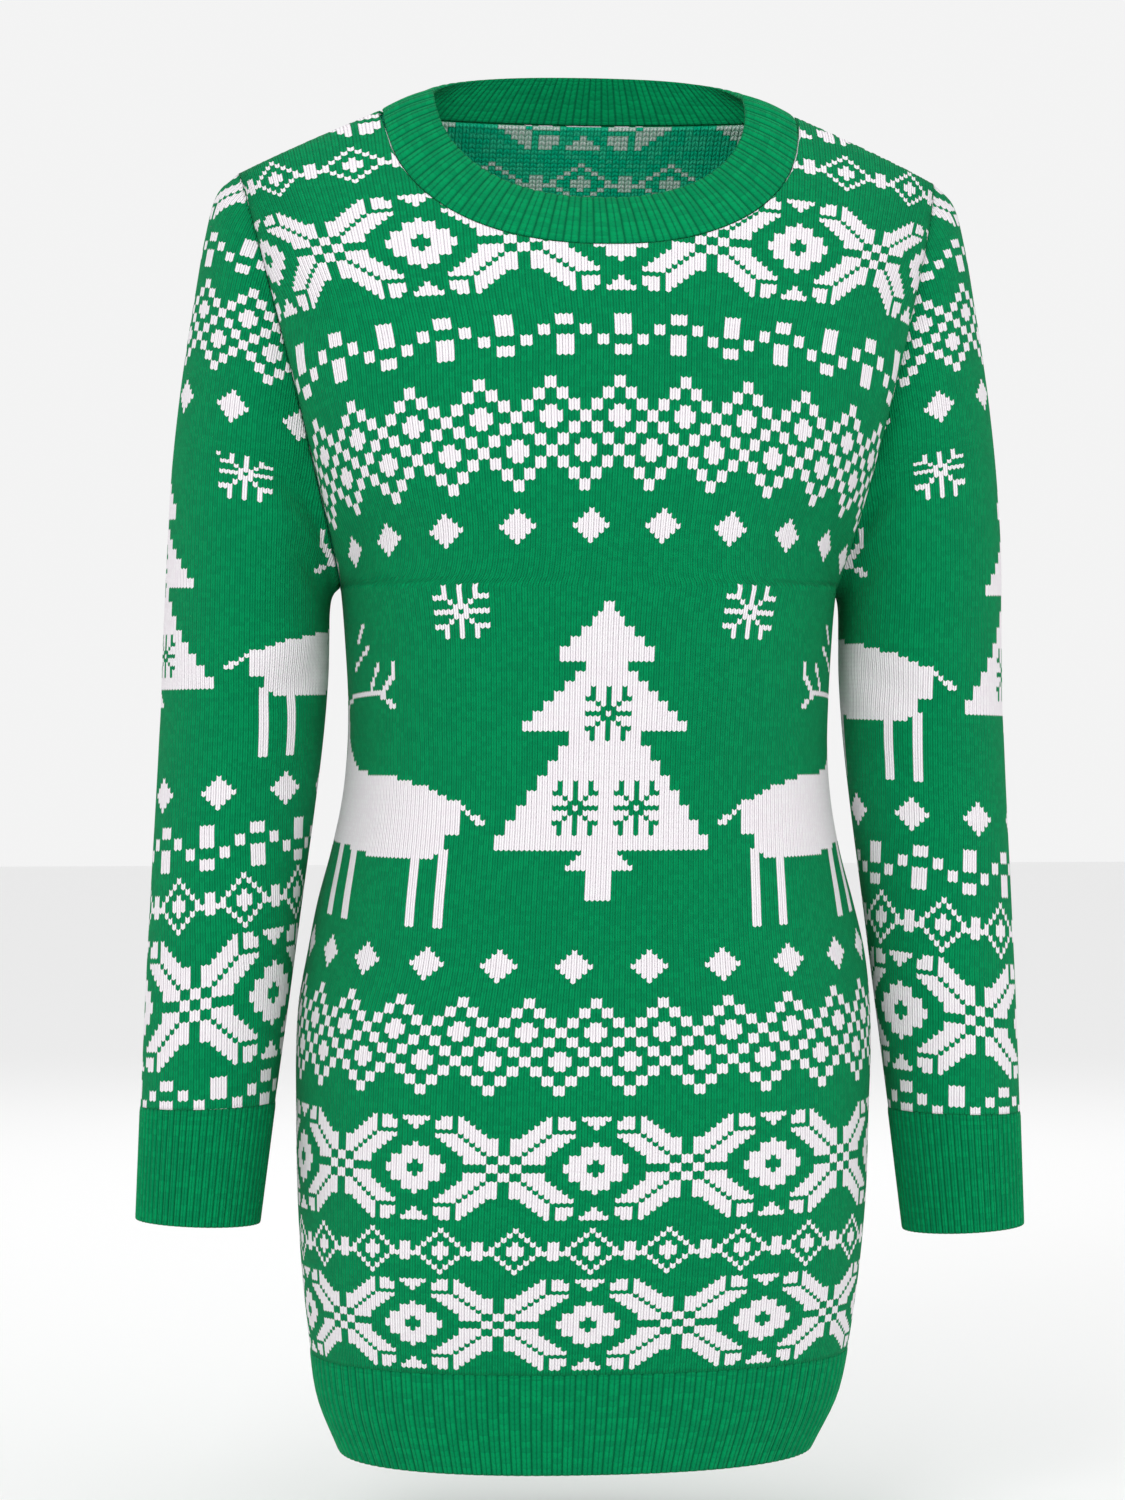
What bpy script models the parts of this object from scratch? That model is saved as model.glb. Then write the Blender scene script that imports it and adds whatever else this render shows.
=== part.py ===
"""A knitted sweater dress, filled out as if worn, as nine pieces of cloth.

The front faces -Y, the wearer's left is +X, and +Z is up. The origin lies in the middle of the
neck, level with the inner ends of the shoulder seams, where the wearer's shoulders hold the dress.
All sizes below are in millimetres; every piece is a closed wall of knitted cloth, and neighbouring
pieces stay a hair apart along their seams.
"""

import math

import bpy
import numpy as np

MM = 0.001

# ---------------------------------------------------------------- driving dimensions

WALL = 2.4              # thickness of the jacquard knit
RIB_WALL = 2.3          # thickness of the ribbed knit, between its ribs
RIB_RAISE = 0.9         # height of a rib above the furrow beside it
SEAM_GAP = 0.3          # room between two pieces that are sewn together
NECK_GAP = 0.7          # the same at the collar, whose seam twists over the shoulders

UNDERARM_X = 138.0      # the point where side seam, sleeve seam and armhole meet
UNDERARM_Z = -268.0
SHOULDER_X = 195.0      # the outer end of the shoulder seam
SHOULDER_Z = -38.0
SHOULDER_SLOPE = 0.45   # fall of the shoulder line for each unit outwards
SHOULDER_SOFT = 40.0    # rounding of the shoulder line towards the neck
SHOULDER_ROUND = 2.3    # how far the line bows up before it drops to the outer end
ARMHOLE_FRONT = 46.0    # half depth of the armhole's oval, before and behind the shoulder seam
ARMHOLE_BACK = 50.0

NECK_X = 116.0          # half width of the neckline at the shoulder seam
NECK_DROP_FRONT = 83.0  # how far the front neckline dips below the shoulder seam
NECK_RISE_BACK = 2.5    # how far the back neckline climbs above it
NECK_POWER = 2.3        # squareness of the neckline's curve

HEM_JOIN_Z = -691.0     # where the body meets its ribbed hem
HEM_Z = -746.0          # the lower edge of the dress
HEM_RIBS = 68           # ribs in each half of the hem
CUFF_RIBS = 60          # ribs round each cuff
COLLAR_RIBS = 78        # ribs round the collar

COLLAR_X = 87.0         # half width of the head opening
COLLAR_SIDE_Z = 10.0    # its height over the shoulders
COLLAR_FRONT = (-66.0, -57.0)   # y and z of its front
COLLAR_BACK = (55.0, 27.0)      # y and z of its back
COLLAR_BACK_LEAN = 3.0  # how far the middle of its back lies towards the wearer's left

SECTION_POWER = 2.35    # squareness of the body's level sections
YOKE_FRONT_Z = -130.0   # where the front starts to lean back to the shoulder seam
YOKE_BACK_Z = -90.0
YOKE_POWER = 1.7        # roundness of that lean
SPREAD_Z = -110.0       # above this the wales run straight up, but those near the armhole fan out
FAN_POWER = 4.0         # how close to the armhole that fanning out begins

# The body's level sections; above the underarm the cloth reaches on from them to the armhole.
SECTION_COLUMNS = ("z", "half_width", "front", "back", "shift")
SECTIONS = (
    (-760.0, 126.5, 90.0, 96.0, -8.0),
    (-746.0, 132.0, 92.0, 98.0, -7.5),
    (-717.0, 144.5, 96.0, 103.0, -6.0),
    (-691.0, 150.0, 99.0, 107.0, -5.0),
    (-666.0, 153.5, 101.5, 110.0, -4.5),
    (-638.0, 156.5, 103.5, 112.0, -4.0),
    (-610.0, 158.5, 104.5, 113.0, -3.5),
    (-554.0, 160.0, 105.0, 113.0, -3.0),
    (-526.0, 160.5, 104.5, 111.0, -2.5),
    (-498.0, 159.5, 103.0, 108.0, -2.0),
    (-470.0, 155.5, 100.0, 103.0, -1.0),
    (-442.0, 149.5, 97.0, 97.0, -1.5),
    (-414.0, 142.0, 93.5, 91.0, -1.5),
    (-386.0, 136.5, 91.0, 87.0, -1.0),
    (-358.0, 134.0, 90.0, 85.0, -0.5),
    (-330.0, 134.0, 91.0, 85.5, 0.0),
    (-300.0, 135.5, 94.0, 88.0, 0.0),
    (-268.0, 138.0, 98.0, 91.0, 0.0),
    (-225.0, 144.0, 101.0, 94.5, 0.0),
    (-190.0, 150.0, 101.5, 97.0, 0.0),
    (-150.0, 157.0, 99.0, 100.0, 0.0),
    (-110.0, 163.0, 94.5, 102.0, 0.0),
    (-70.0, 163.0, 90.0, 103.0, 0.0),
    (-30.0, 163.0, 86.5, 102.0, 0.0),
    (10.0, 163.0, 84.0, 100.0, 0.0),
)

# Soft folds pressed into the body: middle, half length, half width, slant from upright, depth.
FOLD_COLUMNS = ("x", "z", "half_length", "half_width", "slant", "depth")
FRONT_FOLDS = (
    (118.0, -232.0, 62.0, 15.0, 38.0, -4.5),
    (-120.0, -236.0, 58.0, 15.0, -34.0, -4.0),
    (92.0, -262.0, 48.0, 17.0, 50.0, 2.2),
    (70.0, -372.0, 70.0, 22.0, -62.0, 1.8),
    (-76.0, -350.0, 66.0, 20.0, 66.0, -1.8),
)
BACK_FOLDS = (
    (112.0, -226.0, 60.0, 16.0, 34.0, -4.0),
    (-115.0, -230.0, 62.0, 15.0, -38.0, -4.2),
    (48.0, -338.0, 72.0, 22.0, 78.0, -2.6),
    (-52.0, -366.0, 76.0, 24.0, -80.0, -2.8),
    (6.0, -392.0, 60.0, 20.0, 84.0, 2.2),
)

# Rings of a sleeve from the armhole to its cuff, on the +X side: the point over the arm, the
# point beneath it, the half depth and the place of the middle along Y.
RING_COLUMNS = ("over_x", "over_z", "under_x", "under_z", "half_depth", "middle_y")
RINGS = (
    (207.0, -50.0, 140.4, -270.0, 49.5, 2.0),
    (213.5, -74.0, 141.6, -271.6, 50.5, 2.0),
    (218.7, -104.0, 142.4, -273.6, 50.5, 2.0),
    (223.8, -136.0, 143.0, -276.4, 50.0, 2.0),
    (228.4, -170.0, 143.4, -280.4, 49.2, 2.0),
    (232.2, -208.0, 143.6, -286.6, 48.2, 2.0),
    (234.5, -250.0, 143.6, -297.0, 47.0, 1.5),
    (235.6, -298.0, 144.0, -320.0, 45.5, 1.0),
    (237.0, -345.0, 146.5, -353.0, 43.5, 0.0),
    (239.0, -390.0, 151.0, -392.0, 42.0, -1.0),
    (241.5, -440.0, 157.0, -438.0, 40.5, -2.5),
    (244.0, -495.0, 163.8, -492.0, 38.5, -4.0),
    (246.4, -558.0, 172.2, -556.0, 35.5, -5.0),
)
CUFF_END = (248.6, -621.0, 180.6, -624.0, 31.5, -6.0)
CUFF_LIFT = {1: -4.0, -1: 5.0}      # how much higher each sleeve ends than the table says
CUFF_SWING = {1: -2.5, -1: 2.8}     # and how much farther out
LIFT_START_Z = -250.0

GREEN = (0.0, 0.236, 0.065, 1.0)
RIB_GREEN = (0.0, 0.205, 0.055, 1.0)

# ---------------------------------------------------------------- helpers


def smooth(levels, values, at):
    """Read a column of a table at a height, along a soft curve through its rows."""
    at = np.clip(at, levels[0], levels[-1])
    slopes = np.gradient(values, levels)
    low = np.clip(np.searchsorted(levels, at, side="right") - 1, 0, len(levels) - 2)
    span = levels[low + 1] - levels[low]
    t = (at - levels[low]) / span
    return ((2 * t**3 - 3 * t**2 + 1) * values[low] + (t**3 - 2 * t**2 + t) * span * slopes[low]
            + (3 * t**2 - 2 * t**3) * values[low + 1] + (t**3 - t**2) * span * slopes[low + 1])


SECTION_TABLE = np.array(SECTIONS)
LEVELS = SECTION_TABLE[:, 0]


def section(name, z):
    return smooth(LEVELS, SECTION_TABLE[:, SECTION_COLUMNS.index(name)], z)


def unit(vectors):
    return vectors / np.maximum(np.linalg.norm(vectors, axis=-1, keepdims=True), 1e-12)


def armhole_x(z):
    """The armhole lies in one leaning plane; this is its distance from the middle."""
    return UNDERARM_X + (SHOULDER_X - UNDERARM_X) * (z - UNDERARM_Z) / (SHOULDER_Z - UNDERARM_Z)


ARMHOLE_UP = np.array([SHOULDER_X - UNDERARM_X, 0.0, SHOULDER_Z - UNDERARM_Z])
ARMHOLE_HALF = np.linalg.norm(ARMHOLE_UP) / 2
ARMHOLE_UP = ARMHOLE_UP / (2 * ARMHOLE_HALF)
ARMHOLE_OUT = np.array([ARMHOLE_UP[2], 0.0, -ARMHOLE_UP[0]])


def armhole_depth(z, front):
    """Half depth of the armhole's oval at a height."""
    middle = (UNDERARM_Z + SHOULDER_Z) / 2
    half = (SHOULDER_Z - UNDERARM_Z) / 2
    inside = np.clip(1 - ((z - middle) / half) ** 2, 0, None)
    return (ARMHOLE_FRONT if front else ARMHOLE_BACK) * np.sqrt(inside)


def shoulder_z(x):
    """Height of the shoulder seam."""
    reach = math.hypot(SHOULDER_X, SHOULDER_SOFT)
    fall = SHOULDER_SLOPE * (reach - np.sqrt(x * x + SHOULDER_SOFT**2))
    return SHOULDER_Z + fall + SHOULDER_ROUND * (1 - (x / SHOULDER_X) ** 6)


def edge_x(z):
    """Half width of a panel: to the side seam, and above the underarm to the armhole."""
    return np.where(z < UNDERARM_Z, section("half_width", z), armhole_x(z))


def reach_x(share, z):
    """Place across a level: near the middle it follows the sections, at the rim the armhole."""
    body = section("half_width", z)
    return share * body + share**FAN_POWER * (edge_x(z) - body)


def fold_relief(x, z, folds):
    """How far the soft folds move the cloth out."""
    relief = np.zeros_like(x + z)
    for row in folds:
        fold = dict(zip(FOLD_COLUMNS, row))
        slant = math.radians(fold["slant"])
        right = x - fold["x"]
        up = z - fold["z"]
        along = (up * math.cos(slant) + right * math.sin(slant)) / fold["half_length"]
        across = (right * math.cos(slant) - up * math.sin(slant)) / fold["half_width"]
        relief = relief + fold["depth"] * np.exp(-2 * along**2 - across**2)
    return relief


def body_depth(x, z, front):
    """Distance of the cloth from the plane of the side seams, at a place seen from the front."""
    full = section("front" if front else "back", z)
    start = YOKE_FRONT_Z if front else YOKE_BACK_Z
    lean = np.clip((z - start) / (shoulder_z(x) - start), 0, 1)
    full = full * (1 - lean**YOKE_POWER) ** (1 / YOKE_POWER)
    at_edge = np.minimum(armhole_depth(z, front), full)
    body = section("half_width", z)
    edge = edge_x(z)
    across = np.abs(x) / (body + (edge - body) * np.clip(np.abs(x) / edge, 0, 1) ** FAN_POWER)
    across = np.clip(across, 0, 1)
    bow = (1 - across**SECTION_POWER) ** (1 / SECTION_POWER)
    relief = fold_relief(x, z, FRONT_FOLDS if front else BACK_FOLDS)
    return at_edge + (full - at_edge) * bow + relief * bow * (1 - lean)


def wale_x(share, z, front):
    """How far out a wale runs at a height; its share is that of the girth within it."""
    level = np.array(min(z, SPREAD_Z))
    ratio = np.sin(np.linspace(0, math.pi / 2, 91)) ** (2 / SECTION_POWER)
    x = reach_x(ratio, level)
    y = body_depth(x, level + 0 * x, front)
    length = np.concatenate([[0], np.cumsum(np.hypot(np.diff(x), np.diff(y)))])
    return reach_x(np.interp(share, length / length[-1], ratio), np.array(z))


def share_of(x, z, front):
    """The other way round: the share of the girth within a place."""
    shares = np.linspace(0, 1, 401)
    return np.interp(x, wale_x(shares, z, front), shares)


def tube_normals(points):
    """Outward directions of a tube's points, by the differences between neighbours."""
    sideways = np.roll(points, -1, axis=1) - np.roll(points, 1, axis=1)
    normals = unit(np.cross(sideways, np.gradient(points, axis=0)))
    outwards = points - points.mean(axis=1, keepdims=True)
    return normals * math.copysign(1.0, (normals * outwards).sum())


def add_object(name, vertices, faces, colour):
    mesh = bpy.data.meshes.new(name)
    mesh.from_pydata([tuple(v * MM) for v in vertices], [], faces)
    mesh.validate()
    corners = np.array([[vertices[f[0]], vertices[f[i]], vertices[f[i + 1]]]
                        for f in faces for i in range(1, len(f) - 1)])
    volume = np.einsum("ij,ij->i", corners[:, 0], np.cross(corners[:, 1], corners[:, 2])).sum()
    if volume < 0:
        mesh.flip_normals()
    mesh.shade_smooth()
    mesh.set_sharp_from_angle(angle=math.radians(50))
    material = bpy.data.materials.new(name + "_knit")
    material.use_nodes = True
    shader = material.node_tree.nodes["Principled BSDF"]
    shader.inputs["Base Color"].default_value = colour
    shader.inputs["Roughness"].default_value = 0.85
    shader.inputs["Metallic"].default_value = 0.0
    mesh.materials.append(material)
    piece = bpy.data.objects.new(name, mesh)
    bpy.context.scene.collection.objects.link(piece)
    return piece


def add_wall(name, outer, inner, colour, around=False):
    """Join an outer and an inner grid into one closed wall; around closes the grid to a tube."""
    rows, columns = outer.shape[:2]
    vertices = np.concatenate([outer.reshape(-1, 3), inner.reshape(-1, 3)])
    layer = rows * columns

    def at(row, column, inside):
        return inside * layer + row * columns + column % columns

    spans = columns if around else columns - 1
    faces = []
    for c in range(spans):
        for r in range(rows - 1):
            faces.append((at(r, c, 0), at(r, c + 1, 0), at(r + 1, c + 1, 0), at(r + 1, c, 0)))
            faces.append((at(r, c, 1), at(r + 1, c, 1), at(r + 1, c + 1, 1), at(r, c + 1, 1)))
        last = rows - 1
        faces.append((at(0, c, 0), at(0, c, 1), at(0, c + 1, 1), at(0, c + 1, 0)))
        faces.append((at(last, c, 0), at(last, c + 1, 0), at(last, c + 1, 1), at(last, c, 1)))
    if not around:
        for r in range(rows - 1):
            last = columns - 1
            faces.append((at(r, 0, 0), at(r + 1, 0, 0), at(r + 1, 0, 1), at(r, 0, 1)))
            faces.append((at(r, last, 0), at(r, last, 1), at(r + 1, last, 1), at(r + 1, last, 0)))
    return add_object(name, vertices, faces, colour)


# ---------------------------------------------------------------- body

BODY_ROWS = 15          # rows of points from the hem's join to the underarm
ARMHOLE_STEPS = 12      # steps along the armhole, and along half of each sleeve ring
PROBE = 0.4             # step at which the slope of the cloth is measured
NECK_ANGLES = (0.0, 22.0, 42.0, 58.0, 70.0, 80.0, 90.0)
SHOULDER_COLUMNS = 5


def neck_top(x, front):
    """Height of the neckline: a deep scoop in front, nearly level behind."""
    share = np.clip(np.abs(x) / NECK_X, 0, 1)
    if front:
        return shoulder_z(NECK_X) - NECK_DROP_FRONT * (1 - share**NECK_POWER) ** (1 / NECK_POWER)
    return shoulder_z(NECK_X) + NECK_RISE_BACK * (1 - share**2)


def body_columns(front):
    """The girth shares of the grid's columns, right half, with the height where each ends."""
    columns = []
    for angle in NECK_ANGLES:
        x = NECK_X * math.sin(math.radians(angle)) ** (2 / NECK_POWER)
        columns.append((x, float(neck_top(x, front))))
    for step in range(1, SHOULDER_COLUMNS + 1):
        x = NECK_X + (SHOULDER_X - NECK_X) * step / SHOULDER_COLUMNS
        columns.append((x, float(shoulder_z(x))))
    shares = [float(share_of(x, top, front)) for x, top in columns]
    shares[-1] = 1.0
    return shares, [top for x, top in columns]


def body_point(share, z, side, front):
    """A point of the body's outer face; the share runs from the middle to the side seam."""
    x = float(wale_x(share, z, front))
    y = float(body_depth(np.array(x), np.array(z), front))
    shift = float(section("shift", np.array(z)))
    return np.array([side * x + shift, -y if front else y, z])


def body_normals(points, front):
    """Outward directions of the body's face at a grid of its points."""
    z = points[..., 2]
    x = points[..., 0] - section("shift", z)
    reach = np.minimum(np.abs(x), edge_x(z) - 2 * PROBE)
    out = body_depth(reach + PROBE, z, front) - body_depth(reach - PROBE, z, front)
    up = body_depth(reach, z + PROBE, front) - body_depth(reach, z - PROBE, front)
    toward = -1.0 if front else 1.0
    slopes = [-out * np.sign(x) / (2 * PROBE), np.full_like(x, toward), -up / (2 * PROBE)]
    return unit(np.stack(slopes, axis=-1))


def armhole_levels():
    angles = np.linspace(0, math.pi, ARMHOLE_STEPS + 1)
    return (1 - np.cos(angles)) / 2


def body_grid(front):
    """Outer points of a panel, from its left edge to its right edge and from the hem up."""
    shares, tops = body_columns(front)
    lower = np.linspace(HEM_JOIN_Z, UNDERARM_Z, BODY_ROWS)
    rows = []
    for level in lower[:-1]:
        rows.append([(share, level) for share in shares])
    for climb in armhole_levels():
        rows.append([(share, UNDERARM_Z + climb * (top - UNDERARM_Z))
                     for share, top in zip(shares, tops)])
    grid = []
    for row in rows:
        left = [body_point(share, z, -1, front) for share, z in reversed(row[1:])]
        right = [body_point(share, z, 1, front) for share, z in row]
        grid.append(left + right)
    return np.array(grid)


def armhole_inward(climb, side, front):
    """Direction from the armhole's edge to the inside of its oval, in the armhole's plane."""
    angle = math.acos(1 - 2 * climb)
    depth = ARMHOLE_FRONT if front else ARMHOLE_BACK
    along = math.cos(angle) / ARMHOLE_HALF
    across = math.sin(angle) / depth
    size = math.hypot(along, across)
    up = ARMHOLE_UP * np.array([side, 1, 1])
    toward = np.array([0.0, 1.0 if front else -1.0, 0.0])
    return (up * along + toward * across) / size


def body_panel(front):
    """One panel as outer and inner grids, cut back from its seams by half the seam's room."""
    outer = body_grid(front)
    middle = outer.shape[1] // 2
    inward = -body_normals(outer, front)
    neck = len(NECK_ANGLES) - 1
    start = BODY_ROWS - 1
    for column, side in ((0, -1), (-1, 1)):
        inward[:start, column, 1] = 0.0
        for step, climb in enumerate(armhole_levels()):
            inward[start + step, column] = armhole_inward(climb, side, front)
    for column in range(outer.shape[1]):
        if abs(column - middle) >= neck and 0 < column < outer.shape[1] - 1:
            inward[-1, column, 1] = 0.0
    inward[0, :, 2] = 0.0
    inward = unit(inward)
    half = SEAM_GAP / 2
    back_off = np.zeros_like(outer)
    inner = outer + inward * WALL
    seam_y = half if not front else -half
    for column, side in ((0, -1), (-1, 1)):
        back_off[:start + 1, column, 1] = seam_y
        back_off[start:, column] -= ARMHOLE_OUT * np.array([side, 1, 1]) * half
    for column in range(outer.shape[1]):
        if abs(column - middle) >= neck:
            back_off[-1, column, 1] = seam_y
    return outer + back_off, inner + back_off


# ---------------------------------------------------------------- hem


def hem_rib(name, front):
    """One half of the ribbed hem, drawn in a little towards its lower edge."""
    count = 2 * HEM_RIBS
    rows = []
    inner_rows = []
    for level, raised in ((HEM_Z, 1.0), (HEM_JOIN_Z - SEAM_GAP - 3.0, 1.0),
                          (HEM_JOIN_Z - SEAM_GAP, 0.15)):
        line = []
        for step in range(count + 1):
            share = 2 * step / count - 1
            side = 1 if share >= 0 else -1
            line.append(body_point(abs(share), level, side, front))
        line = np.array(line)
        sideways = np.gradient(line, axis=0)
        outward = unit(np.cross(sideways, [0.0, 0.0, 1.0])) * (1 if front else -1)
        outward[[0, -1], 1] = 0.0
        outward = unit(outward)
        line[[0, -1], 1] += (-1 if front else 1) * SEAM_GAP / 2
        lift = RIB_RAISE * raised * (np.arange(count + 1) % 2)
        inner_rows.append(line - outward * (RIB_WALL - 0.4))
        rows.append(line + outward * (lift - 0.4)[:, None])
    return add_wall(name, np.array(rows), np.array(inner_rows), RIB_GREEN)


# ---------------------------------------------------------------- sleeves


def lift_row(row, side):
    """Let a sleeve hang as its side does, by sliding and swinging its lower rings."""
    ring = dict(zip(RING_COLUMNS, row))
    for end in ("over", "under"):
        way = max(0.0, (LIFT_START_Z - ring[end + "_z"]) / (LIFT_START_Z - CUFF_END[1]))
        ring[end + "_z"] += CUFF_LIFT[side] * way
        ring[end + "_x"] += CUFF_SWING[side] * math.sqrt(way)
    return ring


def ring_points(ring, side, angles):
    """Points round one ring, from under the arm over the front to the top and down the back."""
    over = np.array([ring["over_x"], 0.0, ring["over_z"]])
    under = np.array([ring["under_x"], 0.0, ring["under_z"]])
    middle = (over + under) / 2 + np.array([0.0, ring["middle_y"], 0.0])
    half = (over - under) / 2
    points = []
    for angle in angles:
        depth = np.array([0.0, -ring["half_depth"] * math.sin(angle), 0.0])
        points.append((middle - half * math.cos(angle) + depth) * np.array([side, 1, 1]))
    return np.array(points)


def armhole_ring(side):
    """The first ring, on the armhole's own edge, and its points inside the oval."""
    outer = []
    inner = []
    off = ARMHOLE_OUT * np.array([side, 1, 1]) * SEAM_GAP / 2
    levels = armhole_levels()
    around = [(climb, True) for climb in levels] + [(climb, False) for climb in levels[-2:0:-1]]
    for climb, front in around:
        z = UNDERARM_Z + climb * (SHOULDER_Z - UNDERARM_Z)
        y = float(armhole_depth(np.array(z), front)) * (-1 if front else 1)
        point = np.array([side * float(armhole_x(z)), y, z]) + off
        outer.append(point)
        inner.append(point + armhole_inward(climb, side, front) * WALL)
    return np.array(outer), np.array(inner)


def sleeve(name, side):
    first, first_inner = armhole_ring(side)
    angles = np.linspace(0, 2 * math.pi, 2 * ARMHOLE_STEPS, endpoint=False)
    rings = [first] + [ring_points(lift_row(row, side), side, angles) for row in RINGS]
    outer = np.array(rings)
    normals = tube_normals(outer)
    last = unit(np.cross(outer[-1, 6] - outer[-1, 0], outer[-1, 12] - outer[-1, 0]))
    normals[-1] -= np.outer(normals[-1] @ last, last)
    inner = outer - unit(normals) * WALL
    inner[0] = first_inner
    return add_wall(name, outer, inner, GREEN, around=True)


def cuff(name, side):
    """The ribbed cuff, in line with the sleeve's last ring."""
    count = 2 * CUFF_RIBS
    angles = np.linspace(0, 2 * math.pi, count, endpoint=False)
    join = lift_row(RINGS[-1], side)
    end = lift_row(CUFF_END, side)
    length = join["over_z"] - end["over_z"]
    rows = []
    inner_rows = []
    for down, raised in ((0.0, 0.15), (3.0 / length, 1.0), (1.0, 1.0)):
        ring = {key: join[key] + down * (end[key] - join[key]) for key in RING_COLUMNS}
        ring["over_z"] -= SEAM_GAP * (1 - down)
        ring["under_z"] -= SEAM_GAP * (1 - down)
        line = ring_points(ring, side, angles)
        middle = line.mean(axis=0)
        ahead = np.roll(line, -1, axis=0) - np.roll(line, 1, axis=0)
        axis = unit(np.cross(line[count // 4] - middle, line[count // 2] - middle))
        outward = unit(np.cross(ahead, axis))
        if np.einsum("ij,ij->", outward, line - middle) < 0:
            outward = -outward
        lift = RIB_RAISE * raised * (np.arange(count) % 2)
        inner_rows.append(line - outward * (RIB_WALL - 0.4))
        rows.append(line + outward * (lift - 0.4)[:, None])
    return add_wall(name, np.array(rows), np.array(inner_rows), RIB_GREEN, around=True)


# ---------------------------------------------------------------- collar


def opening_point(angle):
    """A point of the head opening: angle 0 is the front, and it turns towards +X."""
    bow = abs(math.cos(angle)) ** (2 / NECK_POWER)
    x = COLLAR_X * math.copysign(abs(math.sin(angle)) ** (2 / NECK_POWER), math.sin(angle))
    y_end, z_end = COLLAR_FRONT if math.cos(angle) > 0 else COLLAR_BACK
    if math.cos(angle) < 0:
        x += COLLAR_BACK_LEAN * bow
    return np.array([x, y_end * bow**0.75, COLLAR_SIDE_Z + (z_end - COLLAR_SIDE_Z) * bow])


def neckline(front_panel, back_panel):
    """The edge of both panels round the neck, outer and inner points, with each one's angle."""
    neck = len(NECK_ANGLES) - 1
    middle = front_panel[0].shape[1] // 2
    right = [math.radians(a) for a in NECK_ANGLES]
    edge = []
    for step in range(-neck, neck + 1):
        angle = math.copysign(right[abs(step)], step)
        edge.append((angle, front_panel[0][-1, middle + step], front_panel[1][-1, middle + step]))
    for step in range(neck, -neck - 1, -1):
        angle = math.pi - math.copysign(right[abs(step)], step)
        edge.append((angle, back_panel[0][-1, middle + step], back_panel[1][-1, middle + step]))
    return edge


def collar(front_panel, back_panel):
    """The ribbed collar, standing on the neckline's own edge."""
    edge = neckline(front_panel, back_panel)
    outer_edge = np.array([point for angle, point, inside in edge])
    inner_edge = np.array([inside for angle, point, inside in edge])
    edge_angle = np.array([angle for angle, point, inside in edge])
    closed = np.concatenate([outer_edge, outer_edge[:1]])
    length = np.concatenate([[0], np.cumsum(np.linalg.norm(np.diff(closed, axis=0), axis=1))])
    count = 2 * COLLAR_RIBS
    where = np.arange(count) / count * length[-1]
    closed_inner = np.concatenate([inner_edge, inner_edge[:1]])
    closed_angle = np.concatenate([edge_angle, edge_angle[:1] + 2 * math.pi])
    foot = np.array([np.interp(where, length, closed[:, k]) for k in range(3)]).T
    foot_inner = np.array([np.interp(where, length, closed_inner[:, k]) for k in range(3)]).T
    angles = np.interp(where, length, closed_angle)
    top = np.array([opening_point(angle) for angle in angles])
    rise = unit(top - foot)
    ahead = np.roll(foot, -1, axis=0) - np.roll(foot, 1, axis=0)
    normal = unit(np.cross(ahead, rise))
    if normal[0] @ (foot[0] - foot_inner[0]) + normal[count // 4] @ (foot - foot_inner)[count // 4] < 0:
        normal = -normal
    lift = (RIB_RAISE * (np.arange(count) % 2))[:, None]
    rows = [foot + rise * NECK_GAP]
    inner_rows = [foot_inner + rise * NECK_GAP]
    seam_side = unit(foot - foot_inner)
    for up, bulge in ((0.14, 0.4), (0.55, 1.2), (1.0, 0.0)):
        turned = unit(normal * up**0.5 + seam_side * (1 - up**0.5))
        line = foot + (top - foot) * up + turned * bulge
        rows.append(line + turned * lift)
        inner_rows.append(line - turned * RIB_WALL)
    return add_wall("collar", np.array(rows), np.array(inner_rows), RIB_GREEN, around=True)


# ---------------------------------------------------------------- the dress

for leftover in list(bpy.data.objects):
    bpy.data.objects.remove(leftover, do_unlink=True)

front_grids = body_panel(True)
back_grids = body_panel(False)
add_wall("front", *front_grids, GREEN)
add_wall("back", *back_grids, GREEN)
hem_rib("hem_rib_front", True)
hem_rib("hem_rib_back", False)
for side, word in ((1, "left"), (-1, "right")):
    sleeve("sleeve_" + word, side)
    cuff("cuff_" + word, side)
collar(front_grids, back_grids)
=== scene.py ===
# %% [markdown]
# # A knitted sweater dress
# The real thing is a jacquard-knit dress: two body panels, two sleeves, and a ribbed collar,
# cuffs and hem. Its white motifs are not printed. Each white stitch is a loop of white yarn, so
# every motif has the small V-shaped steps of the stitches. A picture could be laid over a smooth
# shell, but then the steps would slide off the knit. Here each stitch is a real pair of faces,
# coloured by charts as a knitter would read them.

# %% Load the packed model as the frame
import math

import bpy
import numpy as np
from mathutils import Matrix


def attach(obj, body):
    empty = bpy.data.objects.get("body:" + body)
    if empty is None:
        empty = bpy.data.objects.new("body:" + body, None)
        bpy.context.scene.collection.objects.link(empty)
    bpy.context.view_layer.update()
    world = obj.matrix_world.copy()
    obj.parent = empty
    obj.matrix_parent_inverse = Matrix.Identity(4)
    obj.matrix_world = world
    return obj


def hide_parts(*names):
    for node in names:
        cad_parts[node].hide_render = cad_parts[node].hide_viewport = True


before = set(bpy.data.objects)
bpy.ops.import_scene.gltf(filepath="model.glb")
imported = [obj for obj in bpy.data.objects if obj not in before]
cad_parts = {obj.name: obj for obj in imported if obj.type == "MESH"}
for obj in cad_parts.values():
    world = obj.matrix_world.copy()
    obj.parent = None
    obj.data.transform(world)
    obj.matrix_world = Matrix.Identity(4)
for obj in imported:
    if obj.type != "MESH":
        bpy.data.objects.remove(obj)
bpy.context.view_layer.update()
MM = 0.001
print("solids:", sorted(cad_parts))

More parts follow.
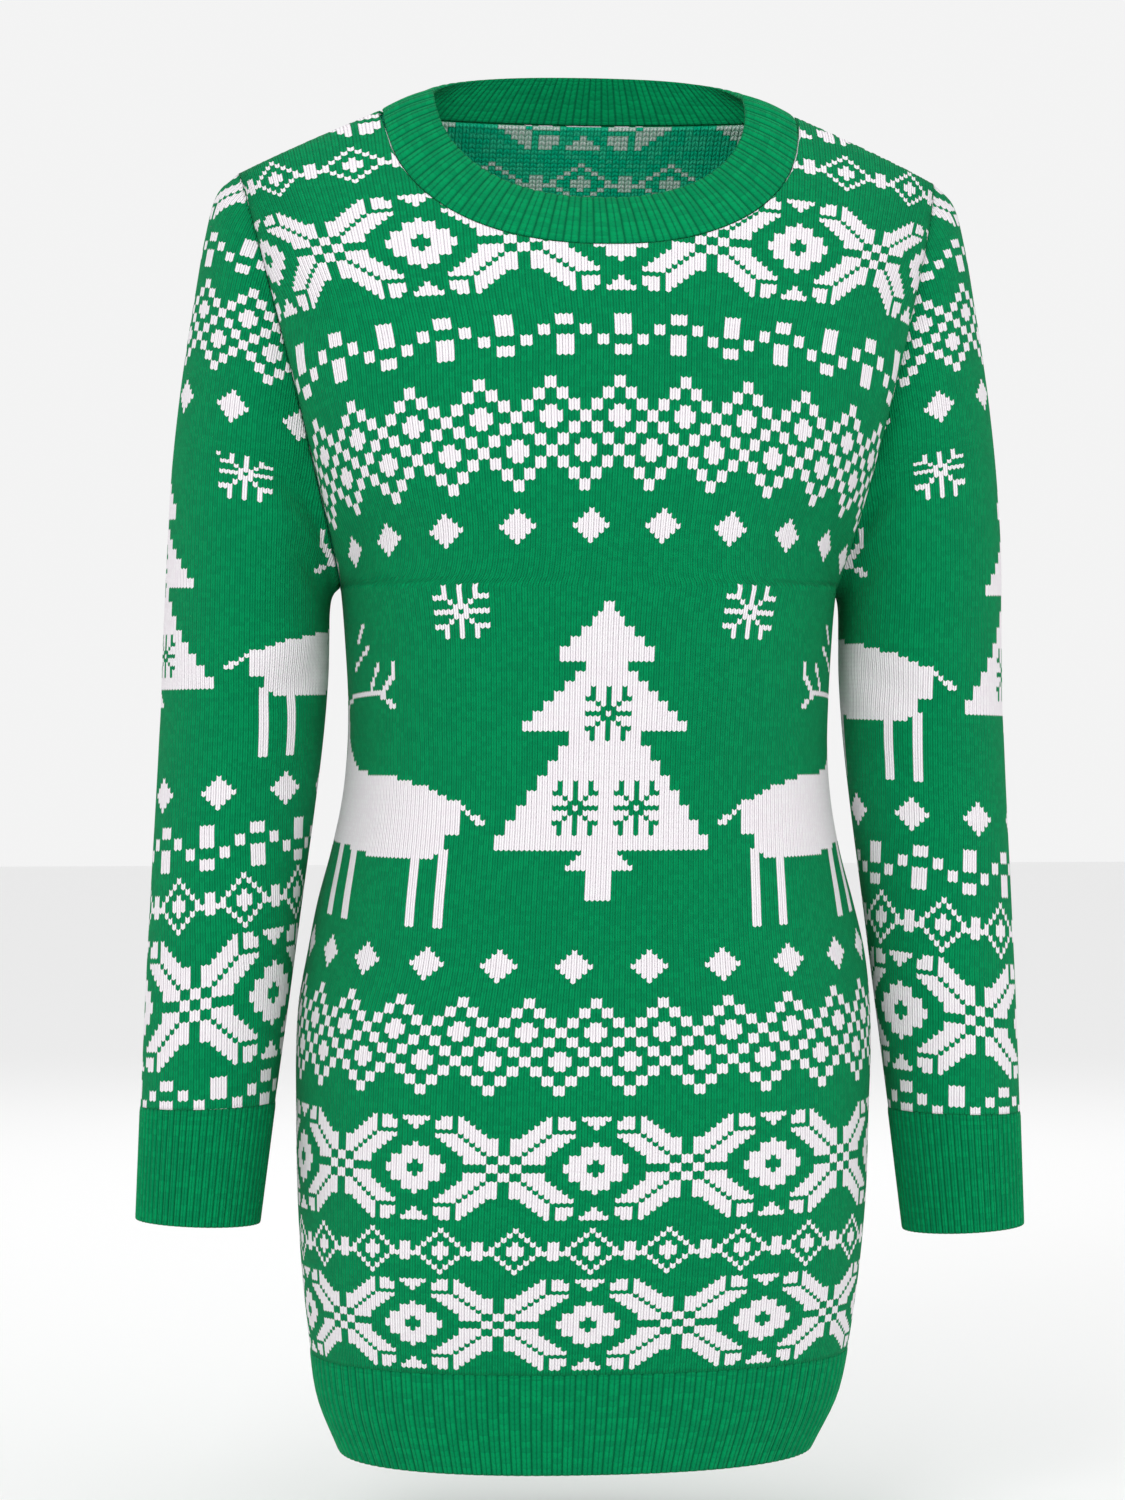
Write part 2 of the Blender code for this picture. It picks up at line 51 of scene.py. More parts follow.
# %% [markdown]
# ## The camera
# The photograph looks level at the dress, from a little to one side. A long lens some two metres
# away gives the same outline. Tilting it would make upright lines lean, so a small lens shift puts
# the dress at the right height in the picture instead.

# %% Place the camera
VIEW_TURN = math.radians(6.0)
VIEW_DISTANCE = 2200.0      # in millimetres, as all the dress's own measures are
VIEW_HEIGHT = -330.0
SENSOR = 36.0
MIDDLE_LEFT, MIDDLE_DOWN = 588.0, 700.0     # where the view's axis meets the photograph
PHOTO_WIDE, PHOTO_TALL = 1125.0, 1500.0
FOCAL_PIXELS = 3928.57      # focal length, in pixels of the photograph

lens = bpy.data.cameras.new("camera")
lens.sensor_width = SENSOR
lens.lens = SENSOR * FOCAL_PIXELS / PHOTO_TALL
lens.shift_x = (PHOTO_WIDE / 2 - MIDDLE_LEFT) / PHOTO_TALL
lens.shift_y = (MIDDLE_DOWN - PHOTO_TALL / 2) / PHOTO_TALL
camera = bpy.data.objects.new("camera", lens)
camera.location = (-VIEW_DISTANCE * math.sin(VIEW_TURN) * MM,
                   -VIEW_DISTANCE * math.cos(VIEW_TURN) * MM, VIEW_HEIGHT * MM)
camera.rotation_euler = (math.pi / 2, 0.0, -VIEW_TURN)
bpy.context.scene.collection.objects.link(camera)
bpy.context.scene.camera = camera
print("lens", round(lens.lens, 2), "mm, shift", round(lens.shift_x, 4), round(lens.shift_y, 4))

# %% [markdown]
# ## Floor and light
# Cloth shows its stitches best in soft light that comes from the front and a little from above.
# Three large area lights do that; a pale world fills the shadows, and a pale floor lies below.
# The plain Standard view transform keeps the yarn's green and white as clear as they really are.

# %% Make the floor and the lights
FLOOR_Z, FLOOR_REACH = -0.80, 9     # in metres
FLOOR_GREY, FLOOR_ROUGHNESS = 0.90, 0.9
AIM = (0.0, 0.0, -0.35)             # where the lights look
WORLD_STRENGTH = 0.90

floor_paint = bpy.data.materials.new("pale_floor")
floor_paint.use_nodes = True
floor_shader = floor_paint.node_tree.nodes["Principled BSDF"]
floor_shader.inputs["Base Color"].default_value = (FLOOR_GREY, FLOOR_GREY, FLOOR_GREY, 1.0)
floor_shader.inputs["Roughness"].default_value = FLOOR_ROUGHNESS
floor_mesh = bpy.data.meshes.new("floor")
floor_corners = [(x * FLOOR_REACH, y * FLOOR_REACH, FLOOR_Z)
                 for x, y in ((-1, -1), (1, -1), (1, 1), (-1, 1))]
floor_mesh.from_pydata(floor_corners, [], [(0, 1, 2, 3)])
floor_mesh.materials.append(floor_paint)
floor = bpy.data.objects.new("floor", floor_mesh)
bpy.context.scene.collection.objects.link(floor)

LIGHTS = (              # name, place, size and power
    ("front_light", (-1.1, -2.1, 1.0), 1.2, 19.0),
    ("side_light", (1.9, -1.3, 0.3), 1.6, 7.0),
    ("back_light", (0.2, 1.9, 0.9), 1.8, 8.0),
)
for name, place, size, power in LIGHTS:
    light = bpy.data.lights.new(name, "AREA")
    light.size = size
    light.energy = power
    lamp = bpy.data.objects.new(name, light)
    lamp.location = place
    toward = np.array(AIM) - np.array(place)
    lamp.rotation_euler = (math.atan2(math.hypot(toward[0], toward[1]), -toward[2]), 0.0,
                           math.atan2(-toward[0], toward[1]))
    bpy.context.scene.collection.objects.link(lamp)

world = bpy.data.worlds.new("studio")
world.use_nodes = True
sky = world.node_tree.nodes["Background"].inputs
sky["Color"].default_value = (1.0, 1.0, 1.0, 1.0)
sky["Strength"].default_value = WORLD_STRENGTH
bpy.context.scene.world = world
bpy.context.scene.view_settings.view_transform = "Standard"
print("lights:", [row[0] for row in LIGHTS])

# %% [markdown]
# ## The form of the dress
# The solids of the frame were made from a few tables: level sections of the body, an armhole that
# lies in one leaning plane, and rings down each sleeve. The same tables are repeated here, so the
# knit lies exactly where the solids are, only with many more points. Left and right are the
# wearer's, and x grows to the wearer's left.

# %% Driving dimensions, in millimetres
WALL, RIB_WALL = 2.4, 2.3
RIB_RAISE = 0.9
SEAM_GAP = 0.06         # the sewn edges all but touch
NECK_GAP = 0.7          # between the neckline and the collar

UNDERARM_X, UNDERARM_Z = 138.0, -268.0
SHOULDER_X, SHOULDER_Z = 195.0, -38.0
SHOULDER_SLOPE, SHOULDER_SOFT, SHOULDER_ROUND = 0.45, 40.0, 2.3
ARMHOLE_FRONT, ARMHOLE_BACK = 46.0, 50.0
NECK_X, NECK_DROP_FRONT, NECK_RISE_BACK, NECK_POWER = 116.0, 83.0, 2.5, 2.3
HEM_JOIN_Z, HEM_Z = -691.0, -746.0
SECTION_POWER = 2.35    # roundness of a level section; 2 would be an ellipse
YOKE_FRONT_Z, YOKE_BACK_Z, YOKE_POWER = -130.0, -90.0, 1.7      # where the cloth leans in
SPREAD_Z = -110.0       # above it the wales keep the spacing that they have there
FAN_POWER = 4.0         # how close to the armhole the wales fan out to meet it

SECTION_COLUMNS = ("z", "half_width", "front", "back", "shift")
SECTIONS = np.array((
    (-760.0, 126.5, 90.0, 96.0, -8.0),
    (-746.0, 132.0, 92.0, 98.0, -7.5),
    (-717.0, 144.5, 96.0, 103.0, -6.0),
    (-691.0, 150.0, 99.0, 107.0, -5.0),
    (-666.0, 153.5, 101.5, 110.0, -4.5),
    (-638.0, 156.5, 103.5, 112.0, -4.0),
    (-610.0, 158.5, 104.5, 113.0, -3.5),
    (-554.0, 160.0, 105.0, 113.0, -3.0),
    (-526.0, 160.5, 104.5, 111.0, -2.5),
    (-498.0, 159.5, 103.0, 108.0, -2.0),
    (-470.0, 155.5, 100.0, 103.0, -1.0),
    (-442.0, 149.5, 97.0, 97.0, -1.5),
    (-414.0, 142.0, 93.5, 91.0, -1.5),
    (-386.0, 136.5, 91.0, 87.0, -1.0),
    (-358.0, 134.0, 90.0, 85.0, -0.5),
    (-330.0, 134.0, 91.0, 85.5, 0.0),
    (-300.0, 135.5, 94.0, 88.0, 0.0),
    (-268.0, 138.0, 98.0, 91.0, 0.0),
    (-225.0, 144.0, 101.0, 94.5, 0.0),
    (-190.0, 150.0, 101.5, 97.0, 0.0),
    (-150.0, 157.0, 99.0, 100.0, 0.0),
    (-110.0, 163.0, 94.5, 102.0, 0.0),
    (-70.0, 163.0, 90.0, 103.0, 0.0),
    (-30.0, 163.0, 86.5, 102.0, 0.0),
    (10.0, 163.0, 84.0, 100.0, 0.0),
))

# %% [markdown]
# Soft folds are pressed into the cloth. Each row says where the middle of a fold is, how long and
# wide it is, how far it slants from upright, and how deep it goes. The first rows are also in the
# solids; the shallow ones after them are only here. Where the photograph shows no fold, on the
# back, similar ones are placed a little differently, because cloth is never quite even.

# %% Soft folds of the body
FOLD_COLUMNS = ("x", "z", "half_length", "half_width", "slant", "depth")
FRONT_FOLDS = (
    (118.0, -232.0, 62.0, 15.0, 38.0, -4.5),
    (-120.0, -236.0, 58.0, 15.0, -34.0, -4.0),
    (92.0, -262.0, 48.0, 17.0, 50.0, 2.2),
    (70.0, -372.0, 70.0, 22.0, -62.0, 1.8),
    (-76.0, -350.0, 66.0, 20.0, 66.0, -1.8),
    (-104.0, -268.0, 44.0, 10.0, -52.0, 1.2),
    (112.0, -300.0, 40.0, 11.0, 66.0, -1.4),
    (-112.0, -330.0, 44.0, 12.0, 74.0, 1.1),
    (108.0, -345.0, 40.0, 11.0, 80.0, 1.0),
)
BACK_FOLDS = (
    (112.0, -226.0, 60.0, 16.0, 34.0, -4.0),
    (-115.0, -230.0, 62.0, 15.0, -38.0, -4.2),
    (48.0, -338.0, 72.0, 22.0, 78.0, -2.6),
    (-52.0, -366.0, 76.0, 24.0, -80.0, -2.8),
    (6.0, -392.0, 60.0, 20.0, 84.0, 2.2),
    (98.0, -284.0, 44.0, 11.0, 58.0, 1.3),
    (-102.0, -300.0, 46.0, 12.0, -64.0, -1.2),
)
print("folds:", len(FRONT_FOLDS), "in front,", len(BACK_FOLDS), "behind")

# %% Read a table along a soft curve


def smooth(levels, values, at):
    at = np.clip(at, levels[0], levels[-1])
    slopes = np.gradient(values, levels)
    low = np.clip(np.searchsorted(levels, at, side="right") - 1, 0, len(levels) - 2)
    span = levels[low + 1] - levels[low]
    t = (at - levels[low]) / span
    return ((2 * t**3 - 3 * t**2 + 1) * values[low] + (t**3 - 2 * t**2 + t) * span * slopes[low]
            + (3 * t**2 - 2 * t**3) * values[low + 1] + (t**3 - t**2) * span * slopes[low + 1])


def section(name, z):
    return smooth(SECTIONS[:, 0], SECTIONS[:, SECTION_COLUMNS.index(name)], z)


def unit(vectors):
    return vectors / np.maximum(np.linalg.norm(vectors, axis=-1, keepdims=True), 1e-12)


print("half width at the waist", round(float(section("half_width", -345.0)), 1), "mm")

# %% Shoulder, armhole and neckline


def armhole_x(z):
    return UNDERARM_X + (SHOULDER_X - UNDERARM_X) * (z - UNDERARM_Z) / (SHOULDER_Z - UNDERARM_Z)


ARMHOLE_UP = np.array([SHOULDER_X - UNDERARM_X, 0.0, SHOULDER_Z - UNDERARM_Z])
ARMHOLE_HALF = np.linalg.norm(ARMHOLE_UP) / 2
ARMHOLE_UP = ARMHOLE_UP / (2 * ARMHOLE_HALF)
ARMHOLE_OUT = np.array([ARMHOLE_UP[2], 0.0, -ARMHOLE_UP[0]])


def armhole_depth(z, front, softness=0.0):
    """Depth of the oval at a height; with some softness it starts gently below the underarm."""
    middle, half = (UNDERARM_Z + SHOULDER_Z) / 2, (SHOULDER_Z - UNDERARM_Z) / 2
    inside = 1 - ((z - middle) / half) ** 2
    inside = (inside + np.sqrt(inside * inside + softness)) / 2
    return (ARMHOLE_FRONT if front else ARMHOLE_BACK) * np.sqrt(inside)


def shoulder_z(x):
    fall = SHOULDER_SLOPE * (math.hypot(SHOULDER_X, SHOULDER_SOFT)
                             - np.sqrt(x * x + SHOULDER_SOFT**2))
    return SHOULDER_Z + fall + SHOULDER_ROUND * (1 - (x / SHOULDER_X) ** 6)


def top_z(x, front):
    """The upper edge of a panel: neckline in the middle, shoulder seam beside it."""
    share = np.clip(np.abs(x) / NECK_X, 0, 1)
    if front:
        neck = shoulder_z(NECK_X) - NECK_DROP_FRONT * (1 - share**NECK_POWER) ** (1 / NECK_POWER)
    else:
        neck = shoulder_z(NECK_X) + NECK_RISE_BACK * (1 - share**2)
    return np.where(np.abs(x) < NECK_X, neck, shoulder_z(np.abs(x)))


print("shoulder seam ends at", round(float(shoulder_z(NECK_X)), 1), "mm beside the neck")

# %% Depth of the cloth in front of and behind the side seams


def edge_x(z):
    return np.where(z < UNDERARM_Z, section("half_width", z), armhole_x(z))


def reach_x(share, z):
    body = section("half_width", z)
    return share * body + share**FAN_POWER * (edge_x(z) - body)


def fold_relief(x, z, folds):
    relief = np.zeros_like(x + z)
    for row in folds:
        fold = dict(zip(FOLD_COLUMNS, row))
        slant = math.radians(fold["slant"])
        right, up = x - fold["x"], z - fold["z"]
        along = (up * math.cos(slant) + right * math.sin(slant)) / fold["half_length"]
        across = (right * math.cos(slant) - up * math.sin(slant)) / fold["half_width"]
        relief = relief + fold["depth"] * np.exp(-2 * along**2 - across**2)
    return relief


EDGE_SOFTNESS = 0.06            # of the armhole's oval, for the cloth a little inside of its edge
RIM_POWER = 6                   # how narrow the part is that follows the oval itself
FAN_EASE, FAN_EASE_REACH = 1.0, 25      # the wales fan out later beside the underarm
RISE_EASE, RISE_EASE_REACH = 2.5, 30    # and there the cloth rises to the oval later


def near_underarm(z, reach):
    return np.exp(-((z - UNDERARM_Z) / reach) ** 2)


def body_depth(x, z, front, side=1.0):
    """x is the distance from the middle; side says on which side of it, for the folds."""
    full = section("front" if front else "back", z)
    start = YOKE_FRONT_Z if front else YOKE_BACK_Z
    lean = np.clip((z - start) / (shoulder_z(x) - start), 0, 1)
    full = full * (1 - lean**YOKE_POWER) ** (1 / YOKE_POWER)
    at_edge = np.minimum(armhole_depth(z, front), full)
    body = section("half_width", z)
    edge = edge_x(z)
    fan = FAN_POWER * (1 + FAN_EASE * near_underarm(z, FAN_EASE_REACH))
    across = np.abs(x) / (body + (edge - body) * np.clip(np.abs(x) / edge, 0, 1) ** fan)
    across = np.clip(across, 0, 1)
    bow = (1 - across**SECTION_POWER) ** (1 / SECTION_POWER)
    relief = fold_relief(x * side, z, FRONT_FOLDS if front else BACK_FOLDS)
    soft_edge = np.minimum(armhole_depth(z, front, EDGE_SOFTNESS), full)
    rim_share = (1 - bow) ** RIM_POWER
    later = 1 + RISE_EASE * near_underarm(z, RISE_EASE_REACH)
    rise = (1 - bow) * at_edge * rim_share + (1 - bow) ** later * soft_edge * (1 - rim_share)
    return full * bow + rise + relief * bow * (1 - lean)


print("depth at the chest", round(float(body_depth(np.array(0.0), np.array(-190.0), True)), 1))

# %% [markdown]
# ## How the stitches lie
# A column of stitches is called a wale and a line of them a course. Round the body the wales are
# spread evenly along the girth, so they look close together where the cloth turns away. The table
# below holds, for some heights, how many stitches fit between middle and edge, how far the middle
# wale has wandered sideways, and how far the courses droop at the side. The squeeze says how much
# closer the stitches lie where the front turns to the side.

# %% Where the wales and courses of the body lie
FRONT_KNIT = np.array((         # height, half count, squeeze, drift and droop
    (-691.0, 70.0, 0.15, -7.5, 0.0),
    (-640.0, 71.0, 0.15, -6.5, 3.0),
    (-578.0, 72.0, 0.17, -4.5, 0.0),
    (-520.0, 76.0, 0.28, -4.0, -6.0),
    (-472.0, 80.0, 0.30, -3.5, -12.0),
    (-410.0, 77.0, 0.32, -0.8, -3.0),
    (-330.0, 75.0, 0.38, 0.3, 5.0),
    (-275.0, 75.0, 0.40, 1.5, 14.0),
    (-240.0, 74.0, 0.48, 3.8, 20.0),
    (-190.0, 70.0, 0.40, 6.4, 27.0),
    (-160.0, 68.0, 0.33, 6.8, 30.0),
    (-133.0, 66.0, 0.20, 7.2, 25.0),
    (-110.0, 69.0, 0.40, 6.5, 14.0),
    (-88.0, 66.0, 0.35, 7.0, 10.0),
    (-38.0, 63.0, 0.35, 10.0, 22.0),
))
BACK_KNIT = np.array((          # the same for the back
    (-691.0, 70.0, 0.0, 5.0, 0.0),
    (-578.0, 73.0, 0.0, 2.0, 0.0),
    (-472.0, 72.0, 0.0, 0.0, -5.0),
    (-410.0, 68.0, 0.0, -1.0, 0.0),
    (-330.0, 65.0, 0.0, -2.0, 5.0),
    (-275.0, 66.0, 0.0, -2.0, 9.0),
    (-236.0, 66.0, 0.0, -2.0, 14.0),
    (-190.0, 65.0, 0.0, -1.0, 20.0),
    (-133.0, 61.0, 0.0, 0.0, 18.0),
    (-88.0, 54.0, 0.0, 1.0, 12.0),
    (-45.0, 49.0, 0.0, 2.0, 10.0),
))
DROOP_POWER = 2.3       # how late the courses start to droop on their way to the side
WALES = 80              # most stitches from the middle to a side seam
SQUEEZE_AT, SQUEEZE_WIDE = 57.0, 13.0       # the stitches round which they lie closer


def places(s, squeeze):
    """Way from the middle to stitch s, where those near the turn of the side lie closer."""
    turn = np.tanh((s - SQUEEZE_AT) / SQUEEZE_WIDE) + math.tanh(SQUEEZE_AT / SQUEEZE_WIDE)
    return s - squeeze * SQUEEZE_WIDE * turn


print("a side seam is", WALES, "stitches from the middle at most")

# %% The bands of motifs
BANDS = (               # name, courses, height of the upper edge at the middle of the front
    ("plain", 1, -687.6), ("petals", 24, -638.8), ("plain", 1, -635.8), ("chain", 10, -611.3),
    ("plain", 2, -607.0), ("petals", 24, -552.0), ("plain", 4, -540.5), ("lattice", 20, -489.0),
    ("plain", 3, -480.9), ("diamonds", 7, -463.5), ("plain", 4, -453.0), ("picture", 76, -250.0),
    ("plain", 2, -245.3), ("diamonds", 7, -226.7), ("plain", 3, -217.2), ("lattice", 20, -155.8),
    ("plain", 4, -144.4), ("zigzag", 8, -122.6), ("plain", 4, -110.7), ("petals", 24, -52.5),
    ("plain", 4, -41.0), ("chain", 10, -19.0), ("plain", 3, -12.0), ("petals", 24, 48.0),
)


def course_lines(bands, start):
    """Heights of all lines between courses, from the lowest up, and each course's band."""
    lines, names, inside = [start], [], []
    for name, courses, top in bands:
        first = inside[-1] + 1 if names and names[-1] == name else 0
        lines += list(np.linspace(lines[-1], top, courses + 1)[1:])
        names += [name] * courses
        inside += list(range(first, first + courses))
    return np.array(lines), names, np.array(inside)


body_lines, body_bands, body_courses = course_lines(BANDS, HEM_JOIN_Z)
print(len(body_bands), "courses on the body")

# %% [markdown]
# ## The charts
# A knitter's chart is a grid with one square for each stitch. The motifs are old ones that belong
# to nobody: eight-petal stars, rings, chains, dotted lattices, diamonds, snowflakes, a fir tree and
# deer. Each chart below is drawn by a short rule, counted from the motif's middle, and tells for a
# column c and a course r, counted from the lower edge of its band, whether the stitch is white.

# %% Charts of the repeating bands


def wrap(c, period, middle=0):
    """Columns counted from the nearest repeat of a motif."""
    return (c - middle + period // 2) % period - period // 2


def star_quarter():
    quarter = np.zeros((13, 13), bool)
    for step in range(2, 9):
        first = 4 if step <= 3 else step + 1
        quarter[step, first:first + 4] = True
        quarter[first:first + 4, step] = True
    quarter[1, 2:4] = quarter[2:4, 1] = True
    quarter[10:12, 10:13] = True
    quarter[12, 10:12] = True
    return quarter


STAR = star_quarter()
RING_HALF = (0, 5, 4, 4, 2, 2, 0)       # half widths of the ring's courses, from its middle
RING_HOLE = (0, 1, 0, -1, -1, -1, -1)


def petals(c, r):
    """Eight-petal stars with rings between them; 31 stitches for each repeat."""
    up = r - 12
    far = np.where(up >= 0, up + 1, -up)
    d = wrap(c, 31, 16)
    side = np.clip(np.where(d >= 0, d + 1, -d), 1, 12)
    star = (np.abs(d + 0.5) < 12) & STAR[np.clip(far, 1, 12), side]
    e = np.abs(wrap(c, 31, 0))
    level = np.clip(far, 0, 6)
    ring = (far <= 6) & (e <= np.array(RING_HALF)[level]) & (e > np.array(RING_HOLE)[level])
    pointer = (far >= 10) & (e <= far - 10)
    return star | ring | pointer


def chain(c, r):
    """Outlined diamonds linked by small upright blocks."""
    d = np.abs(wrap(c, 13, 0))
    diamond = (d <= 4) & ((r == d) | (r == 9 - d))
    cross = ((d == 0) & (r >= 3) & (r <= 6)) | ((d == 1) & (r >= 4) & (r <= 5))
    return diamond | cross | ((d == 6) & (r >= 3) & (r <= 6)) | ((d == 5) & (r == 4))


def lattice(c, r):
    """Diamonds drawn in dots of two by two, in two staggered rows."""
    white = np.zeros(np.broadcast(c, r).shape, bool)
    for middle, height in ((0, 13), (6, 7)):
        across = np.abs(wrap(c, 12, middle) + 0.5)
        up = np.abs(r + 0.5 - height)
        white |= (across < 2) & (up < 2) & (across + up < 3)
        for step in (0, 2, 4, 6):
            white |= (np.abs(across - step) < 1) & (np.abs(up - (6 - step)) < 1)
    return white


def diamonds(c, r):
    return np.abs(wrap(c, 14, -5)) + np.abs(r - 3) <= 3


def zigzag(c, r):
    """Dots that climb and fall between tall blocks."""
    d = np.abs(wrap(c, 20, 0))
    down = 7 - r
    high = (d <= 1) & ((down <= 3) | (down >= 6))
    low = (d >= 9) & ((down <= 1) | (down >= 4))
    dots = ((d >= 3) & (d <= 4) & (down >= 4) & (down <= 5)) \
        | ((d >= 6) & (d <= 7) & (down >= 2) & (down <= 3))
    return high | low | dots


columns = np.arange(-WALES, WALES)
for chart, courses in ((petals, 24), (chain, 10), (lattice, 20), (diamonds, 7), (zigzag, 8)):
    filled = chart(columns[None, :], np.arange(courses)[:, None])
    print(chart.__name__, "is white in", int(filled.sum()), "stitches")

# %% [markdown]
# The wide band in the middle is a small winter picture: a fir tree with frost stars left open in
# it, a snowflake on either side, and a deer turned towards each side seam. The tree is a list of
# half widths from the ground up. The deer is drawn from a few lines: its back and belly are soft
# curves, its legs, tail and antlers are short strokes.

# %% Chart of the picture band
PICTURE_COURSES = 76
TREE_FOOT, TRUNK_COURSES = 6, 10
TREE_HALF = (           # courses and half width, from the trunk up through the three tiers
    (6, 2.5), (1, 6.5), (1, 5.5), (1, 4.5), (1, 3.5),
    *((3, half) for half in range(21, 6, -2)),
    *((2, half) for half in range(16, 3, -2)),
    (3, 9), (2, 7), (2, 5), (2, 3), (1, 2), (2, 1),
)


def snowflake(d, r):
    d, r = np.abs(d), np.abs(r)
    arms = ((d == 0) | (r == 0)) & (d + r <= 5)
    ring = (d <= 1) & (r <= 1)
    corners = ((d == 3) & (r >= 3) & (r <= 5)) | ((r == 3) & (d >= 3) & (d <= 5))
    return (arms | ring | corners | ((d == 2) & (r == 2))) & ~((d == 0) & (r == 0))


def frost(d, r):
    """The small open stars in the tree are two stitches narrower."""
    return snowflake(d, r) & (np.abs(d) <= 4)


def tree(c, r):
    halves = np.zeros(PICTURE_COURSES)
    at = TREE_FOOT
    for courses, half in TREE_HALF:
        halves[at:at + courses] = half
        at += courses
    middle = np.where(r < TREE_FOOT + TRUNK_COURSES, 1.0, 0.5)   # the trunk sits half a stitch off
    inside = np.abs(c + middle) < halves[np.clip(r, 0, PICTURE_COURSES - 1)]
    open_stars = frost(c, r - 43) | frost(c - 6, r - 24) | frost(c + 6, r - 24)
    return inside & ~open_stars


filled = tree(columns[None, :], np.arange(PICTURE_COURSES)[:, None])
print("the tree is white in", int(filled.sum()), "stitches")

# %% Chart of the deer, and of the whole picture
TAIL = ((0, 25, -3, 22), (-3, 22, -5, 21))      # strokes: column and course of both their ends
ANTLERS = ((44, 46, 35, 48), (35, 48, 20, 48), (20, 48, 15, 45), (19, 48, 15, 51), (15, 51, 15, 54),
           (23, 49, 20, 54), (33, 54, 24, 58), (30, 60, 26, 63))
LEGS = ((2, 3), (8, 9), (27, 29), (35, 37))     # first and last column of each


def stroke(d, r, d0, r0, d1, r1, half):
    """A short line of stitches from one place of the chart to another."""
    length = math.hypot(d1 - d0, r1 - r0)
    along = np.clip(((d - d0) * (d1 - d0) + (r - r0) * (r1 - r0)) / length**2, 0, 1)
    return np.hypot(d - d0 - along * (d1 - d0), r - r0 - along * (r1 - r0)) <= half


def deer(d, r):
    """A deer; d counts outwards from its rump, r up from the ground."""
    back = np.interp(d, [0, 3, 8, 15, 26, 50], [24.5, 26.5, 28.5, 30.0, 31.0, 31.5])
    belly = np.interp(d, [0, 2, 2.1, 5, 22, 34], [18.5, 18.5, 15.5, 14.0, 14.0, 15.5])
    throat = np.interp(r, [29, 33, 38, 46], [26, 34, 41, 43])
    white = (d >= 0) & (d <= 50) & (r <= back) & (r >= belly)
    white |= (d >= throat) & (d <= 50) & (r >= 28) & (r <= 46)
    for first, last in LEGS:
        white |= (d >= first) & (d <= last) & (r >= 0) & (r < 16)
    for strokes, half in ((TAIL, 0.45), (ANTLERS, 0.6)):
        for ends in strokes:
            white |= stroke(d, r, *ends, half)
    return white


def arm_deer(d, r):
    """The deer on a sleeve, where its forepart goes under the arm."""
    return deer(np.where(d > 20, d + 4, d), r)


def picture(c, r):
    out = np.where(c >= 0, c, -1 - c)
    return tree(c, r) | snowflake(out - 27, r - 64) | deer(out - 28, r)


filled = picture(columns[None, :], np.arange(PICTURE_COURSES)[:, None])
print("the picture band is white in", int(filled.sum()), "stitches")

# %% Put a panel's whole chart together
CHARTS = {"petals": petals, "chain": chain, "lattice": lattice, "diamonds": diamonds,
          "zigzag": zigzag, "picture": picture}


def whole_chart(columns, bands, courses, picture_chart):
    """One truth value for each stitch, True where the yarn is white."""
    rows = []
    for name, course in zip(bands, courses):
        if name == "plain":
            rows.append(np.zeros(len(columns), bool))
        else:
            chart = picture_chart if name == "picture" else CHARTS[name]
            rows.append(chart(columns, np.full(len(columns), course)))
    return np.array(rows)


body_white = whole_chart(columns, body_bands, body_courses, picture)
print("a panel is", round(100 * body_white.mean()), "percent white")

# %% [markdown]
# ## From a grid of stitches to a closed piece of cloth
# Each stitch is a V: its two legs meet lower down than they start. So every stitch gets two faces,
# and the points down its middle are dropped by a third of a course. Points that would fall beyond
# an edge of the panel are pulled back onto that edge, and faces that lose all their width there are
# left out. The inside is a coarser copy, one wall thickness further in, and a rim of triangles
# joins the two, so the cloth is a closed thin wall with a true edge.

# %% Number the points of a grid and find its faces


def merge(points):
    """Number the points of a grid, giving the same number to points in the same place."""
    flat = np.round(points.reshape(-1, 3), 4)
    kept, back = np.unique(flat, axis=0, return_inverse=True)
    return kept, back.reshape(points.shape[:2])


def grid_faces(ids, flip):
    """Faces of a grid, without those that have shrunk to nothing, and their row and column."""
    corners = np.stack([ids[:-1, :-1], ids[:-1, 1:], ids[1:, 1:], ids[1:, :-1]], axis=-1)
    faces, places = [], []
    same = corners == np.roll(corners, -1, axis=-1)
    crossed = (corners[..., 0] == corners[..., 2]) | (corners[..., 1] == corners[..., 3])
    for r, c in zip(*np.nonzero((same.sum(axis=-1) < 2) & ~crossed)):
        order = [i for i in range(4) if not same[r, c, i]]
        if flip:
            order.reverse()
        faces.append([int(corners[r, c, i]) for i in order])
        places.append([(r + (i >= 2), c + (i in (1, 2))) for i in order])
    return faces, places


def rim(shape):
    """Walk once round the edge of a grid."""
    rows, columns = shape[0] - 1, shape[1] - 1
    return ([(0, c) for c in range(columns)] + [(r, columns) for r in range(rows)]
            + [(rows, c) for c in range(columns, 0, -1)] + [(r, 0) for r in range(rows, 0, -1)])


print("the edge of a grid of 4 by 5 points has", len(rim((4, 5))), "steps")

# %% Close an outer and an inner sheet into one wall


